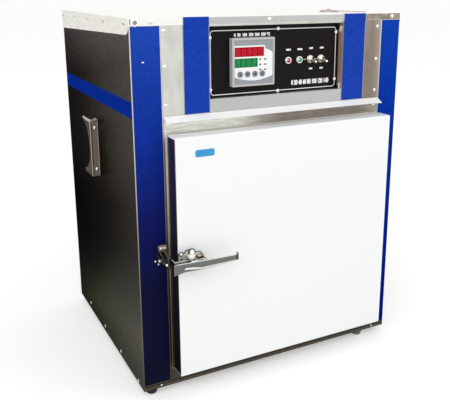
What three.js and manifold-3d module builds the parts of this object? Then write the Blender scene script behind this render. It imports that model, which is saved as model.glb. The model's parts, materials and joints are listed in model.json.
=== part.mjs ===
// Dry heat sterilizer: a bench hot air oven with one side-hinged door, in millimetres, +Z up.
//
// While the pieces are made, X = 0 is the outside of the left panel, Y = 0 the front of the corner
// posts and Z = 0 the underside of the cabinet. The last lines move the whole oven so that its
// origin is the middle of its underside, on the surface that it stands on.

import * as THREE from 'three';
import { mergeVertices } from 'three/addons/utils/BufferGeometryUtils.js';
import Module from 'manifold-3d';

const wasm = await Module();
wasm.setup();

// Driving sizes of the cabinet.
const cabinet = { width: 621, depth: 520, height: 760 };
const sheet = 1.2; // every folded panel
const seat = 0.3; // gap between two pieces that rest on each other
const overrun = 4; // how far a cutting tool passes its work
const roundSteps = 24; // facets round a cylinder
const smallSteps = 12; // facets round a small bar, a ball or a rounded outline
const hexSides = 6;
const foot = {
  radius: 14, taper: 3, height: 15, leftInset: 22,
  rightInset: 66, frontInset: 18, backInset: 36,
};
const tray = { frontLip: 10.5, sideLip: 15 };
const bearer = { width: 24, wall: 2, inset: 40 };
const post = { leftWidth: 60, rightWidth: 51, outerFlange: 22, innerFlange: 38 };
const panelFlange = 18;
const louvre = { count: 7, width: 60, height: 5, pitch: 14, gap: 14, base: 210 };
const gland = { radius: 11, bore: 4.5, nutRadius: 15, nut: 6, outside: 16, inside: 14, left: 90, base: 60 };

// Cover, fascia and rail.
const cover = { frontSkirt: 14, sideSkirtFront: 30, sideSkirtBack: 43, corner: 20 };
const fascia = { height: 184, leftSteel: 44, leftStrip: 54, rightStrip: 57, rightSteel: 43 };
const window = { sill: 26, head: 18, recess: 14 };
const strip = 0.8;
const rail = { reach: 17.5, drop: 9.5, flange: 32 };

// Door, its gasket and its hinges.
const door = { leftGap: 7, rightLap: 7, base: 38, railGap: 2.5, standoff: 2.2, thickness: 38, edge: 2.5 };
const plug = { clearance: 10, reach: 8 };
const gasket = { outside: 18, inside: 4 };
const hinge = { pinOffset: 8, pinForward: 12, knuckle: 5.5, pin: 2.5, head: 4, headHeight: 2 };
const hingeLeaf = { height: 60, thickness: 2, frameWidth: 25, doorWidth: 28 };
const hingeShares = { lower: 0.18, upper: 0.82 }; // of the door's height

// Chamber and what surrounds it.
const mouth = { lap: 50 }; // how far the door laps over the chamber's mouth
const liner = { flange: 14, shaftHole: 6 };
const insulation = 40;
const rearRoom = 135; // behind the chamber, up to the outside of the back panel
const rack = { front: 25, margin: 25, ledge: 10, baffleGap: 8 };
const ledgeShares = [0.22, 0.41, 0.6, 0.79]; // of the chamber's height
const shelfLedges = { lower: 0, upper: 2 }; // which pair of ledges carries each shelf
const shelf = { thickness: 4, rim: 14, bar: 6, slots: 14, slotRows: 2 };
const baffle = { standoff: 46, sideGap: 35, endGap: 20 };
const inlet = { count: 7, width: 96, height: 6, pitch: 12 };
const fan = { radius: 74, blades: 10, bladeThickness: 1.5, bladeDepth: 26, hub: 13, shaft: 4, wallGap: 6 };
const motor = { radius: 38, length: 60, plate: 104, plateThickness: 2, bore: 4.4, boss: 14, bossLength: 6 };
const heater = { radius: 92, tube: 4, wallGap: 16, opening: 24, bend: 10, tail: 12, steps: 28, sides: 8 };
const probe = { radius: 2.5, depth: 70, head: 8, headHeight: 6, side: 60, backShare: 0.7 };
const vent = { radius: 12, bore: 10, flange: 21, plate: 1.5, side: 22, front: 108, pin: 2, pinHeight: 3 };
const damper = {
  radius: 19, thickness: 1.5, hub: 6.5, hubHeight: 3.2,
  armRoot: 4.5, armTip: 3, arm: 97, angle: -72,
};
const ventSlot = { inner: 4, outer: 8.5, sweep: 80 }; // radii in mm and angle in degrees

// Control plate and what it carries. Places are shares of the window's width and height.
const plate = { thickness: 2, lap: 3 };
const controller = { size: 96, proud: 0.7, bodySize: 90, bodyDepth: 78, edge: 3, cutout: 0.6 };
const controllerShares = { across: 0.314, up: 0.484 };
const button = { count: 4, radius: 6, proud: 0.8, depth: 3.2, pocket: 5.2, gap: 0.3 };
const buttonShares = { first: 0.178, step: 0.174, up: 0.253 }; // of the controller's bezel
const lamp = {
  radius: 7.2, rim: 4, stem: 5.5, stemLength: 24,
  lens: 4.6, dome: 3.6, domeSteps: 6, pocket: 6,
};
const toggle = { bush: 5.8, reach: 10, nut: 8.4, nutThickness: 2.4, hole: 0.5, socket: 4.4 };
const toggleBody = { width: 13, height: 24, depth: 22 };
const lever = { ball: 3.8, root: 1.7, tip: 2.7, length: 25, pivotDepth: 5, rest: 12 };
const signalShares = { red: 0.593, green: 0.681, mains: 0.769, fan: 0.855, up: 0.468 };

// Latch: a hand lever on the door whose catch lies beside the roller of a strike on the post.
const latch = { upShare: 0.514, baseWidth: 58, baseHeight: 36, baseThickness: 5, pivotIn: 21, pivotOut: 18 };
const ear = { thickness: 5, radius: 8.5, spread: 18, pin: 3, dome: 5, domeHeight: 6, bore: 0.3, root: 1 };
const springBarrel = { radius: 6.5, length: 18, gap: 3 };
const barrel = { radius: 7, webBack: 6, webFront: 9, webInset: 1.5 };
const handBar = {
  left: 43, right: 92, out: 15.5, thickness: 3,
  tallEnd: 21, slimEnd: 15, endRise: 3, lip: 5,
};
const catchArm = { height: 11, thickness: 6, hook: 4, rise: 21.8, sideGap: 0.6 };
const strike = { inset: 1, width: 26, height: 50, thickness: 2.5, armWidth: 6, armHeight: 5, fall: 14 };
const roller = { radius: 4, length: 20, gap: 2, front: 44, offset: 0.7 };

// Side handles: a bent lip that stands off the side panel and opens to the back.
const grip = { length: 128, standoff: 18, reach: 60, thickness: 2.5, flange: 22, waistShift: 10 };
const gripShares = { back: 0.477, up: 0.618 }; // of the cabinet's depth and height

// Planes that the sizes above give.
const undersideOfCover = cabinet.height - sheet - seat;
const fasciaBase = cabinet.height - fascia.height;
const railTop = fasciaBase - seat;
const railBase = railTop - rail.flange;
const doorLeft = post.leftWidth + door.leftGap;
const doorRight = cabinet.width - post.rightWidth + door.rightLap;
const doorTop = railBase - door.railGap;
const doorBack = -door.standoff;
const doorFront = doorBack - door.thickness;
const doorHeight = doorTop - door.base;
const chamberLeft = doorLeft + mouth.lap;
const chamberRight = doorRight - mouth.lap;
const chamberBase = door.base + mouth.lap;
const chamberTop = doorTop - mouth.lap;
const chamberFront = sheet + seat;
const chamberBack = cabinet.depth - rearRoom;
const chamberMidX = (chamberLeft + chamberRight) / 2;
const chamberMidZ = (chamberBase + chamberTop) / 2;
const chamberHeight = chamberTop - chamberBase;
const insulationBack = chamberBack + sheet + seat;
const motorFront = insulationBack + insulation + seat;
const windowLeft = post.leftWidth + fascia.leftSteel + fascia.leftStrip;
const windowRight = cabinet.width - post.rightWidth - fascia.rightSteel - fascia.rightStrip;
const windowBase = fasciaBase + window.sill;
const windowTop = cabinet.height - window.head;
const plateFront = sheet + window.recess + seat;
const plateBack = plateFront + plate.thickness;
const bezelFront = controller.proud;
const latchZ = door.base + latch.upShare * doorHeight;
const pivotX = doorLeft + latch.pivotIn;
const pivotY = doorFront - latch.pivotOut;

// Shapes.

function block(x, y, z) {
  const box = new THREE.BoxGeometry(x[1] - x[0], y[1] - y[0], z[1] - z[0]);
  return box.translate((x[0] + x[1]) / 2, (y[0] + y[1]) / 2, (z[0] + z[1]) / 2);
}

// An outline carried along an axis. Its points are (y, z) along X, (x, z) along Y and (x, y) along Z.
function prism(outline, axis, range, steps = smallSteps) {
  const corners = outline instanceof THREE.Shape ? [] : outline.map(([a, b]) => new THREE.Vector2(a, b));
  const shape = corners.length > 0 ? new THREE.Shape(corners) : outline;
  const options = { depth: range[1] - range[0], bevelEnabled: false, curveSegments: steps };
  const solid = new THREE.ExtrudeGeometry(shape, options);
  const turn = new THREE.Matrix4();
  if (axis === 'x') {
    turn.set(0, 0, 1, range[0], 1, 0, 0, 0, 0, 1, 0, 0, 0, 0, 0, 1);
  } else if (axis === 'y') {
    turn.set(1, 0, 0, 0, 0, 0, -1, range[1], 0, 1, 0, 0, 0, 0, 0, 1);
  } else {
    turn.makeTranslation(0, 0, range[0]);
  }
  return solid.applyMatrix4(turn);
}

// A round bar along an axis. The two other coordinates of its centre come in the order X, Y, Z.
function rod(axis, centre, range, radius, endRadius = radius, steps = roundSteps) {
  const length = range[1] - range[0];
  const middle = (range[0] + range[1]) / 2;
  const bar = new THREE.CylinderGeometry(endRadius, radius, length, steps);
  if (axis === 'x') {
    return bar.rotateZ(-Math.PI / 2).translate(middle, centre[0], centre[1]);
  }
  if (axis === 'y') {
    return bar.translate(centre[0], middle, centre[1]);
  }
  return bar.rotateX(Math.PI / 2).translate(centre[0], centre[1], middle);
}

function ball(centre, radius) {
  return new THREE.SphereGeometry(radius, smallSteps, smallSteps / 2).translate(...centre);
}

function toManifold(geometry) {
  const bare = geometry.clone();
  bare.deleteAttribute('normal');
  bare.deleteAttribute('uv');
  const merged = mergeVertices(bare);
  const mesh = new wasm.Mesh({
    numProp: 3,
    vertProperties: new Float32Array(merged.attributes.position.array),
    triVerts: new Uint32Array(merged.index.array),
  });
  return new wasm.Manifold(mesh);
}

function toGeometry(manifold) {
  const mesh = manifold.getMesh();
  const geometry = new THREE.BufferGeometry();
  geometry.setAttribute('position', new THREE.BufferAttribute(mesh.vertProperties, 3));
  geometry.setIndex(new THREE.BufferAttribute(mesh.triVerts, 1));
  return geometry;
}

function join(...pieces) {
  const [first, ...others] = pieces.map(toManifold);
  return toGeometry(others.reduce((sum, next) => sum.add(next), first));
}

function cut(work, ...tools) {
  return toGeometry(tools.map(toManifold).reduce((rest, tool) => rest.subtract(tool), toManifold(work)));
}

function ringProfile(inner, outer, axis, range) {
  const tool = [range[0] - overrun, range[1] + overrun];
  const order = { x: (o, r) => [r, o[0], o[1]], y: (o, r) => [o[0], r, o[1]], z: (o, r) => [o[0], o[1], r] };
  return cut(block(...order[axis](outer, range)), block(...order[axis](inner, tool)));
}

// Materials, by the finish of the real piece.
const finishes = {
  darkSteel: { color: 0x45413d, metalness: 0.85, roughness: 0.35 },
  steel: { color: 0xc9cac4, metalness: 0.85, roughness: 0.38 },
  coverSteel: { color: 0xdcdeda, metalness: 0.8, roughness: 0.4 },
  chrome: { color: 0xd8dadb, metalness: 1, roughness: 0.12 },
  bluePaint: { color: 0x1b3fae, metalness: 0, roughness: 0.4 },
  whitePaint: { color: 0xf7f9fa, metalness: 0, roughness: 0.45 },
  blackPlate: { color: 0x1c191a, metalness: 0, roughness: 0.5 },
  greyPlastic: { color: 0xb6b9bc, metalness: 0, roughness: 0.5 },
  buttonGrey: { color: 0x7f8388, metalness: 0, roughness: 0.55 },
  redLens: { color: 0xc8161d, metalness: 0, roughness: 0.2 },
  greenLens: { color: 0x10804a, metalness: 0, roughness: 0.2 },
  rubber: { color: 0x151515, metalness: 0, roughness: 0.85 },
  silicone: { color: 0x9a3b2c, metalness: 0, roughness: 0.7 },
  wool: { color: 0xd9cf9d, metalness: 0, roughness: 1 },
  motorGrey: { color: 0x5b6066, metalness: 0.4, roughness: 0.5 },
  copperPink: { color: 0xc9aea4, metalness: 0.6, roughness: 0.4 },
};

const oven = new THREE.Group();

function add(name, geometry, finish) {
  const material = new THREE.MeshStandardMaterial({ ...finishes[finish], flatShading: true });
  const mesh = new THREE.Mesh(geometry, material);
  mesh.name = name;
  oven.add(mesh);
}

// Cabinet.

function addFeet() {
  const columns = { left: foot.leftInset, right: cabinet.width - foot.rightInset };
  const rows = { front: foot.frontInset, back: cabinet.depth - foot.backInset };
  for (const [row, y] of Object.entries(rows)) {
    for (const [column, x] of Object.entries(columns)) {
      const tapered = rod('z', [x, y], [-seat - foot.height, -seat], foot.radius - foot.taper, foot.radius);
      add(`foot_${row}_${column}`, tapered, 'rubber');
    }
  }
}

function addBaseTray() {
  const inner = [sheet + seat, cabinet.width - sheet - seat];
  const back = cabinet.depth - 2 * (sheet + seat);
  const lipDepth = [post.innerFlange + seat, back];
  const bearerTop = chamberBase - sheet - seat - insulation - seat;
  const pieces = [
    block(inner, [0, back], [0, sheet]),
    block([0, cabinet.width], [0, sheet], [0, tray.frontLip]),
    block([inner[0], inner[0] + sheet], lipDepth, [0, tray.sideLip]),
    block([inner[1] - sheet, inner[1]], lipDepth, [0, tray.sideLip]),
  ];
  const left = [chamberLeft + bearer.inset, chamberLeft + bearer.inset + bearer.width];
  const right = [chamberRight - bearer.inset - bearer.width, chamberRight - bearer.inset];
  for (const [from, to] of [left, right]) {
    const run = [post.innerFlange + bearer.wall, chamberBack];
    pieces.push(block([from, from + bearer.wall], run, [0, bearerTop]));
    pieces.push(block([to - bearer.wall, to], run, [0, bearerTop]));
    pieces.push(block([from, to], run, [bearerTop - bearer.wall, bearerTop]));
  }
  add('base_tray', join(...pieces), 'steel');
}

function addSidePanels() {
  const front = sheet + seat;
  const back = cabinet.depth - sheet - seat;
  const height = [0, undersideOfCover];
  const fold = [[0, front], [sheet, front], [sheet, back - sheet], [panelFlange, back - sheet],
    [panelFlange, back], [0, back]];
  add('side_panel_left', prism(fold, 'z', height), 'darkSteel');
  const mirrored = fold.map(([x, y]) => [cabinet.width - x, y]).reverse();
  add('side_panel_right', prism(mirrored, 'z', height), 'darkSteel');
}

function addBackPanel() {
  const depth = [cabinet.depth - sheet, cabinet.depth];
  const through = [depth[0] - overrun, depth[1] + overrun];
  const slots = [];
  for (let row = 0; row < louvre.count; row += 1) {
    const base = louvre.base + row * louvre.pitch;
    const height = [base, base + louvre.height];
    for (const start of [chamberMidX - louvre.gap - louvre.width, chamberMidX + louvre.gap]) {
      slots.push(block([start, start + louvre.width], through, height));
    }
  }
  const hole = rod('y', [gland.left, gland.base], through, gland.radius + seat);
  const panel = block([0, cabinet.width], depth, [0, undersideOfCover]);
  add('back_panel', cut(panel, ...slots, hole), 'darkSteel');
}

function addCableGland() {
  const outside = cabinet.depth + seat;
  const inside = cabinet.depth - sheet - gland.inside;
  const centre = [gland.left, gland.base];
  const body = join(
    rod('y', centre, [inside, outside + overrun], gland.radius),
    rod('y', centre, [outside, outside + gland.nut], gland.nutRadius, gland.nutRadius, hexSides),
    rod('y', centre, [outside + gland.nut / 2, outside + gland.outside], gland.radius),
  );
  const bore = rod('y', centre, [inside - overrun, outside + gland.outside + overrun], gland.bore);
  add('cable_gland', cut(body, bore), 'rubber');
}

// The post is one folded channel: a flange behind the side panel, the face, and a deep inner flange.
function addCornerPosts() {
  const height = [tray.frontLip + seat, undersideOfCover];
  const outer = sheet + seat;
  const channel = (width) => [
    [0, 0], [width, 0], [width, post.innerFlange], [width - sheet, post.innerFlange], [width - sheet, sheet],
    [outer + sheet, sheet], [outer + sheet, post.outerFlange], [outer, post.outerFlange],
    [outer, sheet], [0, sheet],
  ];
  add('corner_post_left', prism(channel(post.leftWidth), 'z', height), 'bluePaint');
  const mirrored = channel(post.rightWidth).map(([x, y]) => [cabinet.width - x, y]).reverse();
  add('corner_post_right', prism(mirrored, 'z', height), 'bluePaint');
}

// The cover is a pan turned over, with side skirts that deepen to the back and rounded front corners.
function addTopCover() {
  const lap = sheet + seat;
  const left = -lap;
  const right = cabinet.width + lap;
  const back = cabinet.depth + lap;
  const top = cabinet.height;
  const cornerY = -lap + cover.corner;
  const cornerZ = top - cover.sideSkirtFront + cover.corner;
  const skirt = new THREE.Shape();
  skirt.moveTo(-lap, top);
  skirt.lineTo(-lap, cornerZ);
  skirt.absarc(cornerY, cornerZ, cover.corner, Math.PI, Math.PI * 1.5, false);
  skirt.lineTo(back, top - cover.sideSkirtBack);
  skirt.lineTo(back, top);
  const through = [top - sheet - overrun, top + overrun];
  const plateWork = cut(
    block([left, right], [-lap, back], [top - sheet, top]),
    rod('z', [chamberRight - vent.side, vent.front], through, vent.radius + seat),
  );
  const pieces = [
    plateWork,
    block([left, right], [-lap, -seat], [top - cover.frontSkirt, top]),
    block([left, right], [cabinet.depth + seat, back], [top - cover.frontSkirt, top]),
    prism(skirt, 'x', [left, left + sheet]),
    prism(skirt, 'x', [right - sheet, right]),
  ];
  add('top_cover', join(...pieces), 'coverSteel');
}

function addFrontFrame() {
  const side = [post.leftWidth + seat, cabinet.width - post.rightWidth - seat];
  const height = [tray.frontLip + seat, fasciaBase - seat];
  const hole = [[chamberLeft, chamberRight], [chamberBase, chamberTop]];
  add('front_frame', ringProfile(hole, [side, height], 'y', [0, sheet]), 'steel');
}

// The fascia is a plate with a window, and four walls that run back from the window's edges.
function addControlFascia() {
  const side = [post.leftWidth + seat, cabinet.width - post.rightWidth - seat];
  const height = [fasciaBase, undersideOfCover];
  const hole = [[windowLeft, windowRight], [windowBase, windowTop]];
  const outside = [[windowLeft - sheet, windowRight + sheet], [windowBase - sheet, windowTop + sheet]];
  const face = ringProfile(hole, [side, height], 'y', [0, sheet]);
  const walls = ringProfile(hole, outside, 'y', [0, sheet + window.recess]);
  add('control_fascia', join(face, walls), 'steel');
}

// Each strip lies on the fascia and steps out over the skirt of the cover.
function addAccentStrips() {
  const inner = -seat;
  const outer = -seat - sheet - seat;
  const foldZ = cabinet.height - cover.frontSkirt - seat;
  const profile = [[inner, fasciaBase + seat], [inner, foldZ], [outer, foldZ], [outer, cabinet.height],
    [outer - strip, cabinet.height], [outer - strip, foldZ - strip], [inner - strip, foldZ - strip],
    [inner - strip, fasciaBase + seat]].reverse();
  const leftStart = post.leftWidth + fascia.leftSteel;
  add('accent_strip_left', prism(profile, 'x', [leftStart, leftStart + fascia.leftStrip]), 'bluePaint');
  add('accent_strip_right', prism(profile, 'x', [windowRight, windowRight + fascia.rightStrip]), 'bluePaint');
}

function addDripRail() {
  const back = -seat;
  const tip = back - rail.reach;
  const lower = railTop - rail.drop;
  const profile = [[back, railTop], [tip, lower], [tip, lower - sheet], [back - sheet, railTop - 2 * sheet],
    [back - sheet, railBase], [back, railBase]];
  const side = [post.leftWidth + seat, cabinet.width - post.rightWidth - seat];
  add('drip_rail', prism(profile, 'x', side), 'steel');
}

// One handle as seen for the left side: X runs out from the panel as a positive number.
function gripGeometry() {
  const front = gripShares.back * cabinet.depth;
  const base = gripShares.up * cabinet.height - grip.length / 2;
  const height = [base, base + grip.length];
  const t = grip.thickness;
  const outline = [[0, front], [grip.standoff, front], [grip.standoff, front + grip.reach],
    [grip.standoff - t, front + grip.reach], [grip.standoff - t, front + t], [t, front + t],
    [t, front + grip.flange], [0, front + grip.flange]];
  const waist = rod('x', [front + grip.reach + grip.waistShift, base + grip.length / 2],
    [t + seat, grip.standoff + overrun], grip.length / 2 - 2 * t);
  return cut(prism(outline, 'z', height), waist);
}

function addSideHandles() {
  const right = gripGeometry().translate(cabinet.width + seat, 0, 0);
  add('side_handle_right', right, 'chrome');
  const left = gripGeometry();
  left.scale(-1, 1, 1);
  const index = left.index.array;
  for (let corner = 0; corner < index.length; corner += 3) {
    [index[corner], index[corner + 1]] = [index[corner + 1], index[corner]];
  }
  add('side_handle_left', left.translate(-seat, 0, 0), 'chrome');
}

// Controls.

function signalX(share) {
  return windowLeft + share * (windowRight - windowLeft);
}

const signalZ = windowBase + signalShares.up * (windowTop - windowBase);
const controllerX = signalX(controllerShares.across);
const controllerZ = windowBase + controllerShares.up * (windowTop - windowBase);

function squareAbout(x, z, size) {
  return [[x - size / 2, x + size / 2], [z - size / 2, z + size / 2]];
}

function addControlPlate() {
  const depth = [plateFront, plateBack];
  const through = [depth[0] - overrun, depth[1] + overrun];
  const side = [windowLeft - plate.lap, windowRight + plate.lap];
  const height = [windowBase - plate.lap, windowTop + plate.lap];
  const [across, up] = squareAbout(controllerX, controllerZ, controller.bodySize + controller.cutout);
  const holes = [
    block(across, through, up),
    rod('y', [signalX(signalShares.red), signalZ], through, lamp.stem + toggle.hole),
    rod('y', [signalX(signalShares.green), signalZ], through, lamp.stem + toggle.hole),
    rod('y', [signalX(signalShares.mains), signalZ], through, toggle.bush + toggle.hole),
    rod('y', [signalX(signalShares.fan), signalZ], through, toggle.bush + toggle.hole),
  ];
  add('control_plate', cut(block(side, depth, height), ...holes), 'blackPlate');
}

function buttonCentre(index) {
  const share = buttonShares.first + index * buttonShares.step;
  const x = controllerX - controller.size / 2 + share * controller.size;
  const z = controllerZ - controller.size / 2 + buttonShares.up * controller.size;
  return [x, z];
}

function addController() {
  const back = plateFront - seat;
  const outline = squareAbout(controllerX, controllerZ, controller.size);
  const slim = squareAbout(controllerX, controllerZ, controller.size - controller.edge);
  const bezel = join(
    block(outline[0], [bezelFront + controller.edge, back], outline[1]),
    block(slim[0], [bezelFront, back], slim[1]),
  );
  const [across, up] = squareAbout(controllerX, controllerZ, controller.bodySize);
  const body = block(across, [back - overrun, plateBack + controller.bodyDepth], up);
  const pockets = [];
  for (let index = 0; index < button.count; index += 1) {
    const reach = [bezelFront - overrun, bezelFront + button.pocket];
    pockets.push(rod('y', buttonCentre(index), reach, button.radius + button.gap));
    const travel = [bezelFront - button.proud, bezelFront + button.depth];
    add(`controller_button_${index + 1}`, rod('y', buttonCentre(index), travel, button.radius), 'buttonGrey');
  }
  add('controller_case', cut(join(bezel, body), ...pockets), 'greyPlastic');
}

function addLamp(name, share, finish) {
  const centre = [signalX(share), signalZ];
  const front = plateFront - seat - lamp.rim;
  const holder = join(
    rod('y', centre, [front, plateFront - seat], lamp.radius),
    rod('y', centre, [front + lamp.rim / 2, plateFront + lamp.stemLength], lamp.stem),
  );
  const pocket = rod('y', centre, [front - overrun, front + lamp.pocket], lamp.lens + seat);
  add(`lamp_bezel_${name}`, cut(holder, pocket), 'chrome');
  const turns = [[0, lamp.pocket - seat], [lamp.lens, lamp.pocket - seat], [lamp.lens, 0]];
  for (let step = 1; step < lamp.domeSteps; step += 1) {
    const angle = (step / lamp.domeSteps) * (Math.PI / 2);
    turns.push([lamp.lens * Math.cos(angle), -lamp.dome * Math.sin(angle)]);
  }
  turns.push([0, -lamp.dome]);
  const profile = turns.map(([radius, along]) => new THREE.Vector2(radius, along));
  const lens = new THREE.LatheGeometry(profile.reverse(), roundSteps).translate(centre[0], front, centre[1]);
  add(`lamp_lens_${name}`, join(lens), finish);
}

function addToggle(name, share) {
  const x = signalX(share);
  const centre = [x, signalZ];
  const front = plateFront - seat - toggle.reach;
  const bodyFront = plateBack + seat;
  const half = { x: toggleBody.width / 2, z: toggleBody.height / 2 };
  const nutRange = [plateFront - seat - toggle.nutThickness, plateFront - seat];
  const body = join(
    rod('y', centre, [front, bodyFront + overrun], toggle.bush),
    rod('y', centre, nutRange, toggle.nut, toggle.nut, hexSides),
    block([x - half.x, x + half.x], [bodyFront, bodyFront + toggleBody.depth],
      [signalZ - half.z, signalZ + half.z]),
  );
  const socketEnd = front + lever.pivotDepth + lever.ball + seat;
  const socket = rod('y', centre, [front - overrun, socketEnd], toggle.socket);
  add(`toggle_body_${name}`, cut(body, socket), 'steel');
  const arm = join(
    ball([0, 0, 0], lever.ball),
    rod('y', [0, 0], [-lever.length, 0], lever.tip, lever.root, smallSteps),
    ball([0, -lever.length, 0], lever.tip),
  );
  arm.rotateX(THREE.MathUtils.degToRad(lever.rest));
  add(`toggle_lever_${name}`, arm.translate(x, front + lever.pivotDepth, signalZ), 'chrome');
}

// Hot parts.

function addChamberLiner() {
  const outerX = [chamberLeft - sheet, chamberRight + sheet];
  const outerZ = [chamberBase - sheet, chamberTop + sheet];
  const shell = join(
    block(outerX, [chamberFront, chamberBack + sheet], outerZ),
    block([chamberLeft - liner.flange, chamberRight + liner.flange], [chamberFront, chamberFront + sheet],
      [chamberBase - liner.flange, chamberTop + liner.flange]),
  );
  const hollow = block([chamberLeft, chamberRight], [chamberFront - overrun, chamberBack],
    [chamberBase, chamberTop]);
  const rearWall = [chamberBack - overrun, chamberBack + sheet + overrun];
  const roof = [chamberTop - overrun, chamberTop + sheet + overrun];
  const tools = [
    hollow,
    rod('y', [chamberMidX, chamberMidZ], rearWall, liner.shaftHole),
    ...heaterEnds().map((x) => rod('y', [x, heaterEndZ()], rearWall, heater.tube + seat)),
    rod('z', [chamberRight - vent.side, vent.front], roof, vent.bore),
    rod('z', [probeX(), probeY()], roof, probe.radius + seat),
  ];
  add('chamber_liner', cut(shell, ...tools), 'steel');
}

function heaterEnds() {
  const half = heater.radius * Math.sin(THREE.MathUtils.degToRad(heater.opening / 2));
  return [chamberMidX - half, chamberMidX + half];
}

function heaterEndZ() {
  return chamberMidZ - heater.radius * Math.cos(THREE.MathUtils.degToRad(heater.opening / 2));
}

function probeX() {
  return chamberLeft + probe.side;
}

function probeY() {
  return chamberFront + probe.backShare * (chamberBack - baffle.standoff - chamberFront);
}

function addInsulation() {
  const gap = sheet + seat;
  const inner = [[chamberLeft - gap, chamberRight + gap], [chamberBase - gap, chamberTop + gap]];
  const outer = inner.map(([from, to]) => [from - insulation, to + insulation]);
  const front = chamberFront + sheet + seat;
  const sleeve = ringProfile(inner, outer, 'y', [front, insulationBack - seat]);
  const roof = [chamberTop, chamberTop + gap + insulation + overrun];
  add('insulation_sleeve', cut(
    sleeve,
    rod('z', [chamberRight - vent.side, vent.front], roof, vent.radius + seat),
    rod('z', [probeX(), probeY()], roof, probe.radius + seat),
  ), 'wool');
  const pad = block(outer[0], [insulationBack, insulationBack + insulation], outer[1]);
  const through = [insulationBack - overrun, insulationBack + insulation + overrun];
  add('insulation_back', cut(
    pad,
    rod('y', [chamberMidX, chamberMidZ], through, liner.shaftHole),
    ...heaterEnds().map((x) => rod('y', [x, heaterEndZ()], through, heater.tube + seat)),
  ), 'wool');
}

// The element is one tube: in through the rear wall, round the fan, and out again.
function addHeater() {
  const ringY = chamberBack - heater.wallGap;
  const outY = insulationBack + insulation + heater.tail;
  const half = THREE.MathUtils.degToRad(heater.opening / 2);
  const [left, right] = heaterEnds();
  const lead = (x) => [outY, ringY + 2 * heater.bend, ringY + heater.bend].map(
    (y) => new THREE.Vector3(x, y, heaterEndZ()),
  );
  const route = lead(right);
  for (let step = 0; step <= heater.steps; step += 1) {
    const angle = half - Math.PI / 2 + (step / heater.steps) * 2 * (Math.PI - half);
    const x = chamberMidX + heater.radius * Math.cos(angle);
    const z = chamberMidZ + heater.radius * Math.sin(angle);
    route.push(new THREE.Vector3(x, ringY, z));
  }
  route.push(...lead(left).reverse());
  const curve = new THREE.CatmullRomCurve3(route, false, 'centripetal');
  const section = new THREE.Shape();
  section.absarc(0, 0, heater.tube, 0, Math.PI * 2, false);
  const options = { steps: heater.steps * 2, extrudePath: curve, curveSegments: heater.sides / 2 };
  add('heater_ring', new THREE.ExtrudeGeometry(section, options), 'steel');
}

function addFan() {
  const back = chamberBack - fan.wallGap;
  const centre = [chamberMidX, chamberMidZ];
  const shaftEnd = motorFront + motor.plateThickness + motor.length / 2;
  const pieces = [
    rod('y', centre, [back - sheet, back], fan.radius),
    rod('y', centre, [back - fan.bladeDepth, back], fan.hub),
    rod('y', centre, [back - fan.bladeDepth / 2, shaftEnd], fan.shaft),
  ];
  for (let blade = 0; blade < fan.blades; blade += 1) {
    const vane = block([fan.hub / 2, fan.radius], [back - fan.bladeDepth, back],
      [-fan.bladeThickness / 2, fan.bladeThickness / 2]);
    vane.rotateY((blade / fan.blades) * Math.PI * 2);
    pieces.push(vane.translate(chamberMidX, 0, chamberMidZ));
  }
  add('fan_wheel', join(...pieces), 'steel');
}

function addFanMotor() {
  const centre = [chamberMidX, chamberMidZ];
  const [across, up] = squareAbout(...centre, motor.plate);
  const plateEnd = motorFront + motor.plateThickness;
  const rear = plateEnd + motor.length;
  const body = join(
    block(across, [motorFront, plateEnd], up),
    rod('y', centre, [plateEnd - motor.plateThickness / 2, rear], motor.radius),
    rod('y', centre, [rear - motor.bossLength, rear + motor.bossLength], motor.boss),
  );
  const bore = rod('y', centre, [motorFront - overrun, rear - motor.bossLength], motor.bore);
  const notches = heaterEnds().map((x) => rod('y', [x, heaterEndZ()],
    [motorFront - overrun, plateEnd + overrun], heater.tube + seat));
  add('fan_motor', cut(body, bore, ...notches), 'motorGrey');
}

function addFanBaffle() {
  const front = chamberBack - baffle.standoff;
  const base = chamberBase + baffle.endGap;
  const top = chamberTop - baffle.endGap;
  const back = chamberBack - seat;
  const side = [chamberLeft + baffle.sideGap, chamberRight - baffle.sideGap];
  const channel = [[front, base], [back, base], [back, base + sheet], [front + sheet, base + sheet],
    [front + sheet, top - sheet], [back, top - sheet], [back, top], [front, top]];
  const slots = [];
  for (let row = 0; row < inlet.count; row += 1) {
    const middle = chamberMidZ + (row - (inlet.count - 1) / 2) * inlet.pitch;
    slots.push(block([chamberMidX - inlet.width / 2, chamberMidX + inlet.width / 2],
      [front - overrun, front + sheet + overrun], [middle - inlet.height / 2, middle + inlet.height / 2]));
  }
  add('fan_baffle', cut(prism(channel, 'x', side), ...slots), 'steel');
}

const rackRun = [chamberFront + rack.front, chamberBack - baffle.standoff - rack.baffleGap];

function ledgeTop(index) {
  return chamberBase + ledgeShares[index] * chamberHeight;
}

function addShelfRacks() {
  const height = [chamberBase + rack.margin, chamberTop - rack.margin];
  const wall = [chamberLeft + seat, chamberLeft + seat + sheet];
  const pieces = [block(wall, rackRun, height)];
  const mirror = ([from, to]) => [chamberLeft + chamberRight - to, chamberLeft + chamberRight - from];
  const mirroredPieces = [block(mirror(wall), rackRun, height)];
  ledgeShares.forEach((share, index) => {
    const ledge = [wall[0], wall[1] + rack.ledge];
    const level = [ledgeTop(index) - sheet, ledgeTop(index)];
    pieces.push(block(ledge, rackRun, level));
    mirroredPieces.push(block(mirror(ledge), rackRun, level));
  });
  add('shelf_rack_left', join(...pieces), 'steel');
  add('shelf_rack_right', join(...mirroredPieces), 'steel');
}

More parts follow.
